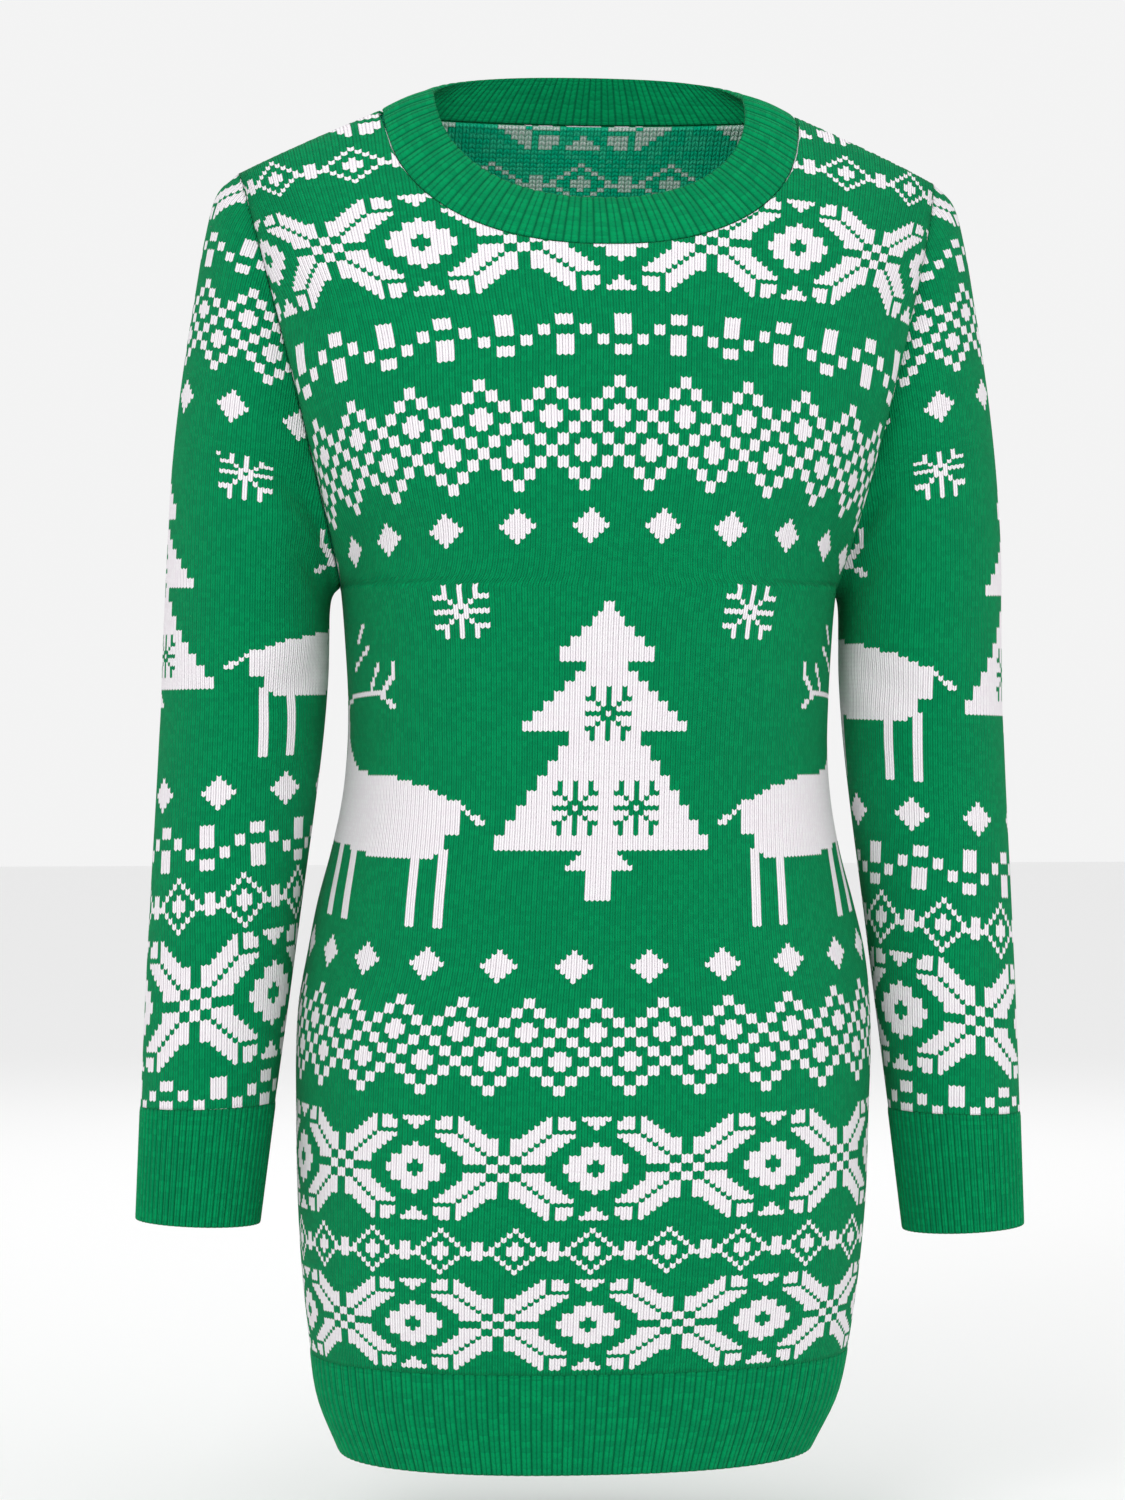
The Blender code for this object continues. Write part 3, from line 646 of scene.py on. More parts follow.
def close_cloth(name, outer, inner, rows, cols, white, flip, tube=False):
    """Build the mesh. rows and cols are the lines of the outer grid that the inner one keeps.

    A tube's two long edges are the same points up to where it opens for the armhole.
    """
    points, ids = merge(outer)
    inner_points, inner_ids = merge(inner)
    inner_ids = inner_ids + len(points)
    faces, places = grid_faces(ids, flip)
    outside = len(faces)
    inner_faces, inner_places = grid_faces(inner_ids, not flip)
    faces += inner_faces
    places += [[(rows[r], cols[c]) for r, c in place] for place in inner_places]
    inner_at = {(rows[r], cols[c]): inner_ids[r, c] for r, c in rim(inner_ids.shape)}
    loop = rim(ids.shape)
    loop_parts = [loop + loop[:1]]
    if tube:
        tall, wide = ids.shape[0] - 1, ids.shape[1] - 1
        joined = np.nonzero(ids[:, 0] != ids[:, -1])[0]
        foot = int(joined[0]) - 1
        foot = rows[max(i for i in range(len(rows)) if rows[i] <= foot)]
        loop_parts = [[(0, c) for c in range(wide + 1)],
                      [(r, wide) for r in range(foot, tall)]
                      + [(tall, c) for c in range(wide, 0, -1)]
                      + [(r, 0) for r in range(tall, foot - 1, -1)]]
    for part in loop_parts:
        near = inner_at[part[0]]
        for a, b in zip(part[:-1], part[1:]):
            strip = [int(ids[a]), int(ids[b])]
            ahead = inner_at.get(b, near)
            band = []
            if strip[0] != strip[1]:
                band.append([strip[1], strip[0], int(near)])
            if ahead != near:
                band.append([strip[1], int(near), int(ahead)])
            for face in band:
                faces.append(face[::-1] if flip else face)
                places.append([a] * 3)
            near = ahead
    mesh = bpy.data.meshes.new(name)
    mesh.from_pydata(np.concatenate([points, inner_points]) * MM, [], faces, shade_flat=False)
    tall, wide = white.shape
    spots = np.array([spot for place in places for spot in place], float)
    stitch = mesh.uv_layers.new(name="stitches")
    stitch.data.foreach_set("uv", np.stack([spots[:, 1] / 2, spots[:, 0]], axis=-1).ravel())
    starts = np.array([[np.mean([p[0] for p in place]), np.mean([p[1] for p in place])]
                       for place in places])
    at_row = np.clip(starts[:, 0].astype(int), 0, tall - 1)
    at_col = np.clip((starts[:, 1] / 2).astype(int), 0, wide - 1)
    value = white[at_row, at_col].astype(float)
    sizes = np.array([len(face) for face in faces])
    yarn = mesh.color_attributes.new("yarn", "FLOAT_COLOR", "CORNER")
    paint = np.repeat(value, sizes)
    yarn.data.foreach_set("color", np.stack([paint, paint, paint, np.ones_like(paint)], -1).ravel())
    kinds = np.zeros(len(faces), np.int32)
    kinds[outside:outside + len(inner_faces)] = 1
    mesh.polygons.foreach_set("material_index", kinds)
    piece = bpy.data.objects.new(name, mesh)
    bpy.context.scene.collection.objects.link(piece)
    print(name, len(faces), "faces")
    return piece


# %% [markdown]
# ## Front and back
# The chart is laid on the body's form: a stitch's height comes from its course, its place round
# the girth from its wale. The clamps at the armhole, neckline and shoulder are worked out for each
# wale by halving the way again and again until the wale ends exactly on the edge.

# %% Where each wale runs
WALE_LEVELS = np.concatenate([np.linspace(-760.0, UNDERARM_Z, 124), np.linspace(-264.0, 12.0, 70)])
SHARES = np.linspace(0, 1, 201)


def wale_table(front):
    """For each level, the distance from the middle at which each share of the girth lies."""
    ratio = np.sin(np.linspace(0, math.pi / 2, 91)) ** (2 / SECTION_POWER)
    rows = []
    for z in WALE_LEVELS:
        level = np.array(min(z, SPREAD_Z))
        x = reach_x(ratio, level)
        y = body_depth(x, level + 0 * x, front)
        length = np.concatenate([[0], np.cumsum(np.hypot(np.diff(x), np.diff(y)))])
        rows.append(reach_x(np.interp(SHARES, length / length[-1], ratio), np.array(z)))
    return np.array(rows)


def wale_at(table, share, z):
    row = np.interp(z, WALE_LEVELS, np.arange(len(WALE_LEVELS)))
    col = np.clip(share, 0, 1) * (len(SHARES) - 1)
    r = np.clip(row.astype(int), 0, len(WALE_LEVELS) - 2)
    c = np.clip(col.astype(int), 0, len(SHARES) - 2)
    fr, fc = row - r, col - c
    x = ((1 - fr) * ((1 - fc) * table[r, c] + fc * table[r, c + 1])
         + fr * ((1 - fc) * table[r + 1, c] + fc * table[r + 1, c + 1]))
    side_seam = (1 - fr) * table[r, -1] + fr * table[r + 1, -1]
    return x * edge_x(z) / side_seam        # so that the last wale lies exactly on the side seam


wale_tables = {True: wale_table(True), False: wale_table(False)}
print("wales mapped at", len(WALE_LEVELS), "levels")

# %% Lay the stitches on a panel
HALF_GIRTH = 186.0      # round length from the middle to the side, for turning drift into a share
V_DROP = 0.35           # how far the middle of a stitch hangs down, in courses
BACK_RISE = 1.0, -230, 150      # the motifs sit a little higher at the top of the back
CENTRE_RISE = 4.0, -125, 40     # and the courses lift a little below the collar
CENTRE_HALF = 24                # up to so many half stitches from the middle
GATHER = 3, -300, 150           # on the chest the drift fades sooner towards the sides
BELOW_EDGES = -200.0            # a height that is surely below the neckline and the shoulders
HALVINGS = 26


def grown(row, z):
    """An amount that grows from nothing at a height to its full size so much higher."""
    amount, start, reach = row
    return amount * np.clip((z - start) / reach, 0, 1)


def panel_points(front):
    knit = FRONT_KNIT if front else BACK_KNIT
    table = wale_tables[front]
    k = np.arange(-2 * WALES, 2 * WALES + 1)[None, :]
    line = body_lines[:, None]
    if not front:
        line = line + grown(BACK_RISE, line)
    count, squeeze, drift, droop = (smooth(knit[:, 0], knit[:, i], line) for i in (1, 2, 3, 4))
    u = np.clip(k / 2 / count, -1, 1)
    way = np.sign(k) * places(np.minimum(np.abs(k / 2), count), squeeze) / places(count, squeeze)
    z = line - droop * np.abs(u) ** DROOP_POWER
    if front:
        z = z + grown(CENTRE_RISE, line) * np.exp(-(k / CENTRE_HALF) ** 2)
    courses = np.gradient(body_lines)[:, None]
    z = z - np.where((k % 2 == 1) & (np.abs(u) < 1), V_DROP * courses, 0)
    z = np.maximum(z, HEM_JOIN_Z)
    share = way + drift / HALF_GIRTH * (1 - u * u) ** (1 + grown(GATHER, line))
    share = np.clip(share, -1, 1)

    def above(height):
        return height > top_z(wale_at(table, np.abs(share), height), front)

    over = above(z)
    low, high = np.minimum(z, BELOW_EDGES), z.copy()
    for step in range(HALVINGS):
        half = (low + high) / 2
        beyond = above(half)
        high = np.where(over & beyond, half, high)
        low = np.where(over & ~beyond, half, low)
    z = np.where(over, high, z)
    for col in range(z.shape[1]):
        ended = np.nonzero(over[:, col])[0]
        if len(ended):
            z[ended[0]:, col] = z[ended[0], col]
            share[ended[0]:, col] = share[ended[0], col]
    x = wale_at(table, np.abs(share), z)
    side = np.sign(share) + (share == 0)
    y = body_depth(x, z, front, side)
    points = np.stack([side * x + section("shift", z), -y if front else y, z], axis=-1)
    return points, share, over


print("a panel has", len(body_lines), "lines of", 4 * WALES + 1, "points")

# %% Directions through the cloth
PROBE = 0.4


def body_normals(points, front):
    z = points[..., 2]
    x = points[..., 0] - section("shift", z)
    side = np.where(x < 0, -1.0, 1.0)
    reach = np.minimum(np.abs(x), edge_x(z) - 2 * PROBE)
    out = body_depth(reach + PROBE, z, front, side) - body_depth(reach - PROBE, z, front, side)
    up = body_depth(reach, z + PROBE, front, side) - body_depth(reach, z - PROBE, front, side)
    toward = -1.0 if front else 1.0
    slopes = [-out * side / (2 * PROBE), np.full_like(x, toward), -up / (2 * PROBE)]
    return unit(np.stack(slopes, axis=-1))


def armhole_inward(z, side, front):
    """Direction from the armhole's edge to the inside of its oval."""
    climb = np.clip((z - UNDERARM_Z) / (SHOULDER_Z - UNDERARM_Z), 0, 1)
    angle = np.arccos(1 - 2 * climb)
    depth = ARMHOLE_FRONT if front else ARMHOLE_BACK
    along = (np.cos(angle) / ARMHOLE_HALF)[..., None]
    across = (np.sin(angle) / depth)[..., None]
    up = ARMHOLE_UP * np.array([side, 1, 1])
    toward = np.array([0.0, 1.0 if front else -1.0, 0.0])
    return unit(up * along + toward * across)


chest = body_normals(np.array([0.0, 0.0, YOKE_FRONT_Z]), True)
print("outward at the middle of the chest:", chest.round(2).tolist())

# %% Make the front and the back
INNER_ROWS = 3          # the inside keeps every third line of the outside
FRONT_COLS, BACK_COLS = 4, 2
BACK_FINE_Z = -130.0    # above it the inside of the back keeps all lines, as it shows in the neck


def panel(name, front, fine_above, keep_cols):
    """One panel of the body, cut back from its seams by half the seam's room."""
    points, share, over = panel_points(front)
    z = points[..., 2]
    inward = -body_normals(points, front)
    half = SEAM_GAP / 2 * (-1 if front else 1)
    shift = np.zeros_like(points)
    seam = np.abs(share) >= 1
    for side in (-1, 1):
        edge = seam & (np.sign(share) == side)
        arm = edge & (z > UNDERARM_Z)
        low = edge & ~arm
        inward[low, 1] = 0.0
        inward[arm] = armhole_inward(z[arm], side, front)
        shift[low, 1] = half
        shift[arm] = -ARMHOLE_OUT * np.array([side, 1, 1]) * SEAM_GAP / 2
    shoulder = over & (np.abs(points[..., 0]) >= NECK_X - 0.5) & ~seam
    inward[shoulder, 1] = 0.0
    shift[shoulder, 1] = half
    inward[z <= HEM_JOIN_Z + 0.01, 2] = 0.0
    outer = points + shift
    inner = points + unit(inward) * WALL + shift
    top = np.searchsorted(body_lines, fine_above)
    rows = sorted({*range(0, top, INNER_ROWS), *range(top, len(z)), len(z) - 1})
    cols = list(range(0, z.shape[1], keep_cols))
    return close_cloth(name, outer, inner[np.ix_(rows, cols)], rows, cols, body_white, not front)


no_fine_rows = body_lines[-1] + 1
front_piece = panel("front_knit", True, no_fine_rows, FRONT_COLS)
back_piece = panel("back_knit", False, BACK_FINE_Z, BACK_COLS)

# %% [markdown]
# ## The sleeves
# A sleeve is knitted as a tube and set into the armhole. Its courses lie almost level while its
# head leans, so each course is found by cutting the sleeve's surface with a plane. Stitches are
# then counted off along that cut, from the outer line of the arm to the front and to the back.
# Below the underarm the cut is a closed loop, and above it an open one that ends at the armhole.

# %% The sleeve's rings
RINGS = np.array((       # x and z of the outer line, of the underarm seam, depths and middle's y
    (195.0, -38.0, 138.0, -268.0, 46.0, 50.0, 0.0),
    (207.0, -50.0, 140.4, -270.0, 49.5, 49.5, 2.0),
    (213.5, -74.0, 141.6, -271.6, 50.5, 50.5, 2.0),
    (218.7, -104.0, 142.4, -273.6, 50.5, 50.5, 2.0),
    (223.8, -136.0, 143.0, -276.4, 50.0, 50.0, 2.0),
    (228.4, -170.0, 143.4, -280.4, 49.2, 49.2, 2.0),
    (232.2, -208.0, 143.6, -286.6, 48.2, 48.2, 2.0),
    (234.5, -250.0, 143.6, -297.0, 47.0, 47.0, 1.5),
    (235.6, -298.0, 144.0, -320.0, 45.5, 45.5, 1.0),
    (237.0, -345.0, 146.5, -353.0, 43.5, 43.5, 0.0),
    (239.0, -390.0, 151.0, -392.0, 42.0, 42.0, -1.0),
    (241.5, -440.0, 157.0, -438.0, 40.5, 40.5, -2.5),
    (244.0, -495.0, 163.8, -492.0, 38.5, 38.5, -4.0),
    (246.4, -558.0, 172.2, -556.0, 35.5, 35.5, -5.0),
))
CUFF_END = np.array((248.6, -621.0, 180.6, -624.0, 31.5, 31.5, -6.0))
CUFF_LIFT = {1: -4.0, -1: 5.0}          # side 1 is the wearer's left, -1 the right
CUFF_SWING = {1: -2.5, -1: 2.8}
LIFT_START_Z = -250.0


def way_down(z):
    return np.maximum(0.0, (LIFT_START_Z - z) / (LIFT_START_Z - CUFF_END[1]))


def lifted(rings, side):
    """Let a sleeve hang as its side does."""
    rings = np.array(rings, float)
    for x, z in ((0, 1), (2, 3)):
        way = way_down(rings[..., z])
        rings[..., z] += CUFF_LIFT[side] * way
        rings[..., x] += CUFF_SWING[side] * np.sqrt(way)
    return rings


SLEEVE_FOLDS = (        # place forwards from the outer line, height, then as for the body
    (86.0, -212.0, 40.0, 7.0, -44.0, -4.6),
    (102.0, -186.0, 36.0, 10.0, -40.0, 2.0),
    (88.0, -236.0, 30.0, 9.0, -54.0, 2.8),
    (104.0, -254.0, 32.0, 7.0, -48.0, -3.2),
    (84.0, -302.0, 44.0, 10.0, 62.0, 1.5),
    (98.0, -322.0, 46.0, 10.0, 66.0, -2.0),
    (40.0, -330.0, 44.0, 13.0, 84.0, -1.0),
    (92.0, -372.0, 44.0, 12.0, 74.0, -1.2),
    (70.0, -470.0, 46.0, 14.0, 80.0, -0.8),
    (-60.0, -220.0, 54.0, 13.0, -26.0, -1.8),
    (-92.0, -290.0, 46.0, 11.0, -58.0, -2.0),
    (-70.0, -345.0, 46.0, 13.0, -80.0, 1.4),
    (-80.0, -366.0, 44.0, 12.0, -76.0, -1.4),
)
print(len(RINGS), "rings,", len(SLEEVE_FOLDS), "folds on a sleeve")

# %% A point of the sleeve from its angle and its way down


def ring_values(rings, t):
    steps = np.arange(len(rings), dtype=float)
    return [smooth(steps, rings[:, i], t) for i in range(rings.shape[1])]


def tube_point(values, angle):
    """Angle 0 is under the arm, a quarter turn is in front, half a turn is the outer line."""
    over_x, over_z, under_x, under_z, front, back, middle_y = values
    cosine, sine = np.cos(angle), np.sin(angle)
    x = (over_x + under_x) / 2 - (over_x - under_x) / 2 * cosine
    z = (over_z + under_z) / 2 - (over_z - under_z) / 2 * cosine
    return np.stack([x, middle_y - np.where(sine > 0, front, back) * sine, z], axis=-1)


def sleeve_point(rings, angle, t):
    return tube_point(ring_values(rings, t), angle)


def sleeve_normal(rings, angle, t, step=0.01):
    low, high = np.clip(t - step, 0, len(rings) - 1), np.clip(t + step, 0, len(rings) - 1)
    around = sleeve_point(rings, angle + step, t) - sleeve_point(rings, angle - step, t)
    down = sleeve_point(rings, angle, high) - sleeve_point(rings, angle, low)
    return unit(np.cross(down, around))


test = sleeve_normal(RINGS, np.array([math.pi]), np.array([6.0]))
print("outward at the outer line:", test.round(2).tolist())

# %% The bands of motifs on a sleeve
SLEEVE_BANDS = (        # heights on the wearer's right sleeve
    ("zigzag", 8, -533.0), ("plain", 2, -527.0), ("petals", 24, -456.0), ("plain", 1, -453.0),
    ("chain", 10, -423.0), ("plain", 1, -420.0), ("zigzag", 8, -396.0), ("plain", 3, -388.0),
    ("diamonds", 7, -370.0), ("plain", 4, -361.0), ("picture", 16, -323.0),
    ("picture", 15, -292.0), ("picture", 13, -260.0), ("picture", 6, -245.0),
    ("picture", 14, -208.0), ("picture", 12, -187.0), ("plain", 2, -181.0),
    ("diamonds", 7, -163.5), ("plain", 4, -155.0), ("lattice", 20, -105.0), ("plain", 3, -98.0),
    ("zigzag", 8, -78.0), ("plain", 3, -70.0), ("petals", 14, -36.0),
)
SLEEVE_START = -558.0
SLEEVE_TILT = np.array((        # height, and how much higher the courses lie at the outer line
    (-558.0, -0.03), (-520.0, -0.14), (-450.0, -0.12), (-380.0, -0.07), (-300.0, 0.0),
    (-208.0, 0.15), (-175.0, 0.30), (-60.0, 0.30),
))
LEFT_SHIFT = np.array((         # height, and how much higher the courses of the left sleeve lie
    (-558.0, -9.0), (-530.0, -10.0), (-456.0, -16.0), (-323.0, -14.0), (-292.0, -6.0),
    (-250.0, 0.0), (-208.0, 5.0), (-170.0, 5.0), (-105.0, 3.0), (-36.0, 0.0),
))
TURNS = (               # two heights, and stitches by which the right and the left are turned there
    (-200.0, 0.0, 3, 0), (-390.0, -365.0, 3, -7), (-422.0, -391.0, 2, 2), (-455.0, -422.0, 1, 3),
)
TILT_X = 190.0          # distance from the middle at which the heights above hold
SLEEVE_WALES = 54
STITCH_LEVELS, STITCH = (-480.0, -400.0), (3.05, 2.8)   # width of a stitch at these heights


def sleeve_picture(c, r):
    out = np.where(c >= 0, c, -1 - c)
    return tree(c + 2, r) | snowflake(out - 24, r - 64) | arm_deer(out - 26, r)


sleeve_lines, sleeve_bands, sleeve_courses = course_lines(SLEEVE_BANDS, SLEEVE_START)
sleeve_columns = np.arange(-SLEEVE_WALES, SLEEVE_WALES)
sleeve_white = {}
for side in (-1, 1):
    white = whole_chart(sleeve_columns, sleeve_bands, sleeve_courses, sleeve_picture)
    for low, high, right_turn, left_turn in TURNS:
        inside = (sleeve_lines[:-1] >= low) & (sleeve_lines[:-1] < high)
        turned = sleeve_columns + (left_turn if side > 0 else right_turn)
        white[inside] = whole_chart(turned, sleeve_bands, sleeve_courses, sleeve_picture)[inside]
    sleeve_white[side] = white
print(len(sleeve_bands), "courses and", 2 * SLEEVE_WALES, "wales on a sleeve")

# %% Cut the sleeve level by level and lay its stitches
CUT_ANGLES, CUT_WAYS = 161, 105         # points of the grid in which a cut is looked for


def lengths(points):
    """Length of the way along a row of points, from its start to each of them."""
    return np.concatenate([[0], np.cumsum(np.linalg.norm(np.diff(points, axis=0), axis=1))])


def level_cut(rings, z):
    """Angles and ways down along a course's cut, from the front end to the back end."""
    tilt = np.interp(z, SLEEVE_TILT[:, 0], SLEEVE_TILT[:, 1])
    low = UNDERARM_Z - tilt * (UNDERARM_X - TILT_X)
    high = SHOULDER_Z - tilt * (SHOULDER_X - TILT_X)
    climb = min(max((z - low) / (high - low), 0.0), 1.0)
    start = math.acos(1 - 2 * climb)
    angle = np.linspace(start, 2 * math.pi - start, CUT_ANGLES)
    t = np.linspace(0, len(rings) - 1, CUT_WAYS)
    places = sleeve_point(rings, angle[:, None], t[None, :])
    heights = places[..., 2] - tilt * (places[..., 0] - TILT_X)
    return angle, np.array([np.interp(-z, -row, t) for row in heights])


def sleeve_grid(side):
    rings = lifted(RINGS, side)
    lines = sleeve_lines
    if side > 0:
        lines = lines + np.interp(lines, LEFT_SHIFT[:, 0], LEFT_SHIFT[:, 1])
    lines = np.minimum(lines, SHOULDER_Z)
    k = np.arange(-2 * SLEEVE_WALES, 2 * SLEEVE_WALES + 1)
    steps = (np.arange(len(lines))[:, None] + np.array([-V_DROP, 0.0])).ravel()
    between = np.interp(steps, np.arange(len(lines)), lines)
    angles, ways, ended = [], [], []
    for z in between:
        angle, t = level_cut(rings, float(z))
        length = lengths(sleeve_point(rings, angle, t))
        outer_line = np.interp(math.pi, angle, length)
        want = outer_line - k / 2 * np.interp(z, STITCH_LEVELS, STITCH)
        angles.append(np.interp(want, length, angle))
        ways.append(np.interp(want, length, t))
        ended.append((want <= 0) | (want >= length[-1]))
    angles, ways, ended = (np.array(rows) for rows in (angles, ways, ended))
    at_line, below = slice(1, None, 2), slice(0, None, 2)
    dropped = (k % 2 == 1)[None, :] & ~ended[at_line] & ~ended[below]
    angle = np.where(dropped, angles[below], angles[at_line])
    way = np.where(dropped, ways[below], ways[at_line])
    way[0] = len(rings) - 1
    return rings, angle, way


test_angle, test_way = level_cut(RINGS, -400.0)
test_girth = lengths(sleeve_point(RINGS, test_angle, test_way))[-1]
print("way round the sleeve at the elbow", round(float(test_girth)), "mm")

# %% Build both sleeves
ROUND_ARM = 45.0        # radius by which an angle is turned into a place for the folds
CALM_SEAM = 0.6         # so near to the underarm seam, as an angle, the folds fade
SLEEVE_ROWS = SLEEVE_COLS = 4           # lines of the outside for each one of the inside


def sleeve(name, side):
    rings, angle, way = sleeve_grid(side)
    points = sleeve_point(rings, angle, way)
    normals = sleeve_normal(rings, angle, way)
    at_ends = np.clip(way, 0, 1)[..., None] * np.clip(len(rings) - 1 - way, 0, 1)[..., None]
    from_seam = np.minimum(angle, 2 * math.pi - angle)
    relief = fold_relief((math.pi - angle) * ROUND_ARM, points[..., 2], SLEEVE_FOLDS)
    relief = relief * np.clip(from_seam / CALM_SEAM, 0, 1)
    points = points + normals * relief[..., None] * at_ends
    mirror = np.array([side, 1, 1])
    inward = -normals
    last = rings[-1]
    axis = unit(np.array([last[1] - last[3], 0.0, -(last[0] - last[2])]))
    at_cuff = way >= len(rings) - 1.001
    inward[at_cuff] -= np.outer(inward[at_cuff] @ axis, axis)
    at_arm = (way <= 0.001) & (points[..., 2] > UNDERARM_Z - 0.5)
    for front in (True, False):
        here = at_arm & ((np.sin(angle) >= 0) == front)
        inward[here] = armhole_inward(points[here][:, 2], 1, front)
    shift = np.where(at_arm[..., None], ARMHOLE_OUT * SEAM_GAP / 2, 0)
    outer = (points + shift) * mirror
    inner = (points + shift + unit(inward) * WALL) * mirror
    tall, wide = way.shape
    rows = sorted({*range(0, tall, SLEEVE_ROWS), tall - 1})
    cols = list(range(0, wide, SLEEVE_COLS))
    return close_cloth(name, outer, inner[np.ix_(rows, cols)], rows, cols, sleeve_white[side],
                       side > 0, tube=True)


left_sleeve = sleeve("sleeve_knit_left", 1)
right_sleeve = sleeve("sleeve_knit_right", -1)

# %% [markdown]
# ## Ribs
# Collar, cuffs and hem are knitted one by one rib: a raised wale, then a sunken one. Each rib here
# is a rounded ridge of the real mesh, so the light catches it, and the fine loops on it are left
# to the material.

# %% A ribbed band from two grids
RIB_STEPS = 6           # points across one rib and its furrow
HEM_RIBS, CUFF_RIBS, COLLAR_RIBS = 68, 60, 78
RIB_CROWN, RIB_FLOOR, RIB_ROUND = 1.25, 0.35, 0.7
RIB_COURSE = 2.5        # height of one stitch along a rib


def rib_lift(columns):
    """Height of the ridges along a line of points, between a furrow's floor and a rib's crown."""
    phase = (np.arange(columns) / RIB_STEPS) % 1.0
    return RIB_RAISE * (RIB_CROWN * np.sin(math.pi * phase) ** RIB_ROUND - RIB_FLOOR)


def ribbed_band(name, outer, inner, around):
    rows, columns = outer.shape[:2]
    layer = rows * columns
    spans = columns if around else columns - 1
    r, c = np.meshgrid(np.arange(rows - 1), np.arange(spans), indexing="ij")
    r, c = r.ravel(), c.ravel()

    def at(row, column, inside):
        return inside * layer + row * columns + column % columns

    quads, spots = [], []

    def add(*corners):
        quads.append(np.stack([at(row, column, inside) for row, column, inside in corners], -1))
        spots.append(np.stack([np.stack([column / RIB_STEPS + 0 * row, row + 0.0 * column], -1)
                               for row, column, inside in corners], 1))

    add((r, c, 0), (r, c + 1, 0), (r + 1, c + 1, 0), (r + 1, c, 0))
    add((r, c, 1), (r + 1, c, 1), (r + 1, c + 1, 1), (r, c + 1, 1))
    c = np.arange(spans)
    first, last = 0 * c, 0 * c + rows - 1
    add((first, c, 0), (first, c, 1), (first, c + 1, 1), (first, c + 1, 0))
    add((last, c, 0), (last, c + 1, 0), (last, c + 1, 1), (last, c, 1))
    if not around:
        r = np.arange(rows - 1)
        left, right = 0 * r, 0 * r + columns - 1
        add((r, left, 0), (r + 1, left, 0), (r + 1, left, 1), (r, left, 1))
        add((r, right, 0), (r, right, 1), (r + 1, right, 1), (r + 1, right, 0))
    faces, places = np.concatenate(quads), np.concatenate(spots)
    vertices = np.concatenate([outer.reshape(-1, 3), inner.reshape(-1, 3)])
    a, b, c, d = (vertices[faces[:, i]] for i in range(4))
    volume = np.einsum("ij,ij->", a, np.cross(b, c)) + np.einsum("ij,ij->", a, np.cross(c, d))
    if volume < 0:          # the faces look inwards, so turn them round
        faces, places = faces[:, ::-1], places[:, ::-1]
    stitches = np.linalg.norm(outer[0, 0] - outer[-1, 0]) / (rows - 1) / RIB_COURSE
    places = places * np.array([1.0, stitches])
    mesh = bpy.data.meshes.new(name)
    mesh.from_pydata(vertices * MM, [], faces.tolist(), shade_flat=False)
    stitch = mesh.uv_layers.new(name="stitches")
    stitch.data.foreach_set("uv", places.astype(float).ravel())
    piece = bpy.data.objects.new(name, mesh)
    bpy.context.scene.collection.objects.link(piece)
    print(name, len(faces), "faces")
    return piece


print("a rib's ridge rises from", rib_lift(4).round(2).tolist())

# %% The hem, one half in front and one behind
HEM_SWELL = 0.6         # the rib bows out a little between its join and its lower edge
FLOOR_IN, INNER_IN = 0.3, 0.4           # how far the ridges' base and the inside are set in
HEM_TOP = HEM_JOIN_Z - SEAM_GAP
HEM_ROWS = (            # height, and share of the full ridge, which is lower at both edges
    (HEM_Z, 0.72), (HEM_Z + 1.2, 1.0), *((z, 1.0) for z in np.linspace(HEM_Z + 7, HEM_TOP - 3, 8)),
    (HEM_TOP - 1.2, 0.8), (HEM_TOP, 0.45),
)


def hem_rib(name, front):
    count = RIB_STEPS * HEM_RIBS
    share = 2 * np.arange(count + 1) / count - 1
    side = np.where(share < 0, -1.0, 1.0)
    rows, inner_rows = [], []
    for z, raised in HEM_ROWS:
        level = np.full(count + 1, z)
        x = wale_at(wale_tables[front], np.abs(share), level)
        y = body_depth(x, level, front, side)
        line = np.stack([side * x + section("shift", level), -y if front else y, level], -1)
        ahead = np.gradient(line, axis=0)
        outward = unit(np.cross(ahead, [0.0, 0.0, 1.0])) * (1 if front else -1)
        outward[[0, -1], 1] = 0.0
        outward = unit(outward)
        line[[0, -1], 1] += (-1 if front else 1) * SEAM_GAP / 2
        swell = HEM_SWELL * math.sin(math.pi * (z - HEM_Z) / (HEM_TOP - HEM_Z))
        lift = rib_lift(count + 1) * raised + swell
        inner_rows.append(line - outward * (RIB_WALL - INNER_IN - swell))
        rows.append(line + outward * (lift - FLOOR_IN)[:, None])
    return ribbed_band(name, np.array(rows), np.array(inner_rows), False)


hem_front = hem_rib("hem_front", True)
hem_back = hem_rib("hem_back", False)

# %% The cuffs
CUFF_TOP_ROWS = ((0.0, 0.45), (1.4, 0.8), (3.2, 1.0))       # way down, and share of the full ridge
CUFF_ROWS = (           # the same, with the way down as a share of the cuff's length
    *((share, 1.0) for share in np.linspace(0.14, 0.985, 8)), (1.0, 0.72),
)


